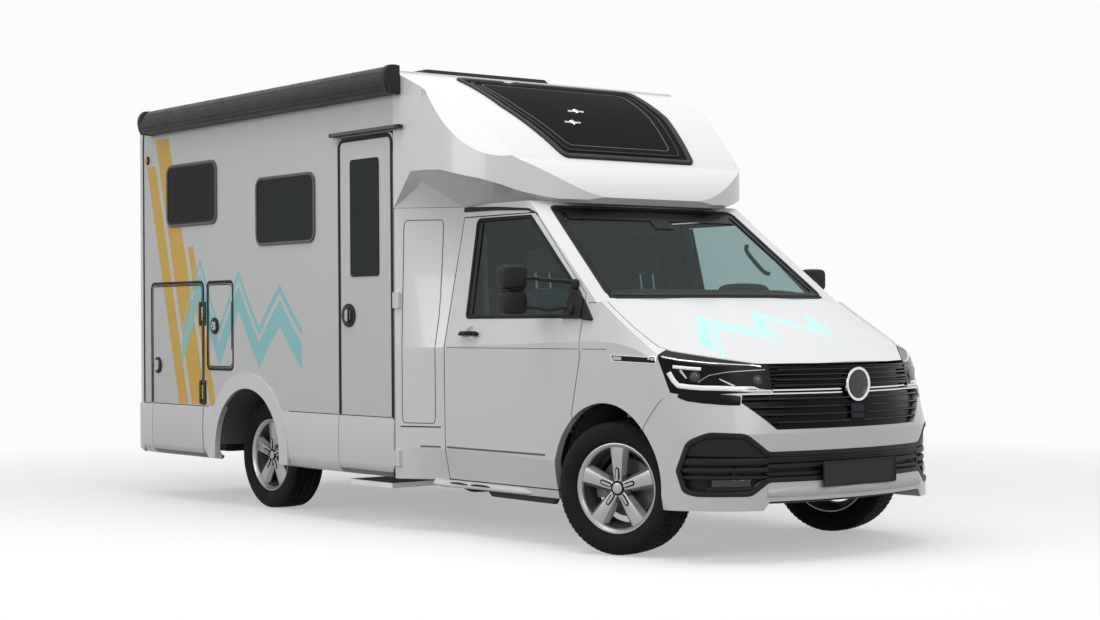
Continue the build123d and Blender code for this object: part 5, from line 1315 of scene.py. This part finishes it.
# ------------------------------------------------------------------ rear and left side
REAR = (-1, 0, 0)
for side_name, side in SIDES.items():
    y = side * 0.960
    for k, (z0, z1, look) in enumerate(((0.770, 0.862, "red_lens"), (0.870, 0.930, "clear_lens"),
                                        (0.938, 1.010, "amber_lens"), (1.018, 1.110, "red_lens"))):
        lens = rounded(end_rect(-2.917, y - 0.031, y + 0.031, z0, z1), 0.008)
        plate(f"rear_lens_{k}_{side_name}", lens, REAR, 0.007, look, "red_lens", bevel=0.003)
    y = side * 0.72
    reflector = rounded(end_rect(-2.940, y - 0.06, y + 0.06, 0.40, 0.43), 0.006)
    plate("rear_reflector_" + side_name, reflector, REAR, 0.004, "red_lens", bevel=0.001)
plate("brake_lamp_lens", end_rect(-2.909, -0.150, 0.150, 2.523, 2.542), REAR, 0.003, "red_lens")
LEFT = Vector((0, 1, 0))
LOUVRES = 7
for name, z0, z1 in (("fridge_vent_low", 0.86, 1.10), ("fridge_vent_high", 1.36, 1.58)):
    x0, x1 = -0.62, -0.16
    parts = [plate_lists(rounded(side_rect(x0, x1, z0, z1, WALL_Y), 0.02), LEFT, 0.010, 0.003)]
    for k in range(LOUVRES):
        z = z0 + 0.03 + (z1 - z0 - 0.06) * k / (LOUVRES - 1)
        parts.append(plate_lists(side_rect(x0 + 0.03, x1 - 0.03, z - 0.006, z + 0.006, WALL_Y + 0.009), LEFT, 0.006))
    piece(name, merged(*parts), "vent_white", angle=40)
plate("power_inlet", rounded(side_rect(-1.98, -1.80, 0.92, 1.08, WALL_Y), 0.02), LEFT, 0.016, "vent_white",
      bevel=0.004)
ribbon("toilet_hatch_line", rounded(side_rect(-2.56, -2.18, 0.74, 1.12, WALL_Y), 0.03), 0.006, 0.002, "rubber",
       normal=LEFT, closed=True)

# ------------------------------------------------------------------ stage, light and camera
PALE = 0.97
SHADOW_CLEAR = 0.42         # share of the plain background mixed into the floor near the van
BOUNCE = 0.16               # how light the floor is to the light it sends back up
SKY_STRENGTH = 0.62


def stage_floor():
    bpy.ops.mesh.primitive_circle_add(vertices=96, radius=30, fill_type="NGON", location=(0, 0, 0))
    floor = bpy.context.object
    s = Mat("studio_floor")
    seen = s.seen_ray()
    dist = s.node("VectorMath", {0: s.pos}, operation="LENGTH").outputs["Value"]
    far = s.span(dist, 3.6, 8.0, SHADOW_CLEAR, 1.0)
    pale = s.mix(s.noise(40.0, 2.0), (0.86, 0.86, 0.86), (0.88, 0.88, 0.88))
    s.set(base_color=s.mix(seen, (BOUNCE, BOUNCE, BOUNCE), pale), roughness=0.8, specular_ior_level=0.1)
    clear = s.node("BsdfTransparent").outputs[0]
    s.put(s.out.inputs[0], s.blend(s.math("MULTIPLY", far, seen), s.p.outputs[0], clear))
    floor.data.materials.append(s.m)


def world():
    """Plain pale sky to the camera, glass and metal; a soft dark-to-light sky as light."""
    w = bpy.data.worlds.new("studio")
    bpy.context.scene.world = w
    w.use_nodes = True
    s = Nodes(w.node_tree)
    height = s.node("SeparateXYZ", {0: s.node("TexCoord").outputs["Generated"]}).outputs[2]
    ramp = s.span(height, -0.1, 0.9, 0.50, 1.05)
    grey = s.node("CombineColor", {0: ramp, 1: ramp, 2: ramp}).outputs[0]
    lit = s.node("Background", {0: grey, 1: SKY_STRENGTH}).outputs[0]
    shown = s.node("Background", {0: (PALE, PALE, PALE, 1)}).outputs[0]
    s.node("OutputWorld", {0: s.blend(s.seen_ray(), lit, shown)})


def area(name, place, target, size, power):
    light = bpy.data.lights.new(name, "AREA")
    light.shape = "RECTANGLE"
    light.size, light.size_y = size
    light.energy = power
    o = bpy.data.objects.new(name, light)
    bpy.context.scene.collection.objects.link(o)
    o.location = place
    o.rotation_euler = (Vector(target) - Vector(place)).to_track_quat("-Z", "Y").to_euler()


stage_floor()
world()
area("overhead", (1.5, -1.0, 7.0), (0.5, 0.0, 1.0), (7.0, 5.0), 300)
area("front", (8.5, -1.5, 4.5), (2.0, 0.0, 1.2), (4.0, 3.0), 110)
area("side", (0.0, -9.0, 4.0), (0.0, 0.0, 1.3), (6.0, 3.0), 215)

# the camera fitted to the photograph
CAM = Vector((9.662, -7.352, 1.213))
YAW, PITCH, ROLL = math.radians(51.49), math.radians(0.278), math.radians(-0.420)
FOCAL_PX, FRAME_PX, SENSOR_MM = 1940.5, 1100, 36.0
forward = Vector((-math.sin(YAW) * math.cos(PITCH), math.cos(YAW) * math.cos(PITCH), math.sin(PITCH)))
level = Vector((math.cos(YAW), math.sin(YAW), 0))
upright = level.cross(forward)
cam_x = level * math.cos(ROLL) + upright * math.sin(ROLL)
cam_y = -level * math.sin(ROLL) + upright * math.cos(ROLL)
cam_data = bpy.data.cameras.new("camera")
cam_data.sensor_width = SENSOR_MM
cam_data.lens = FOCAL_PX / FRAME_PX * SENSOR_MM
cam = bpy.data.objects.new("camera", cam_data)
bpy.context.scene.collection.objects.link(cam)
cam.matrix_world = Matrix.Translation(CAM) @ Matrix((cam_x, cam_y, -forward)).transposed().to_4x4()
bpy.context.scene.camera = cam
bpy.context.scene.view_settings.view_transform = "Standard"
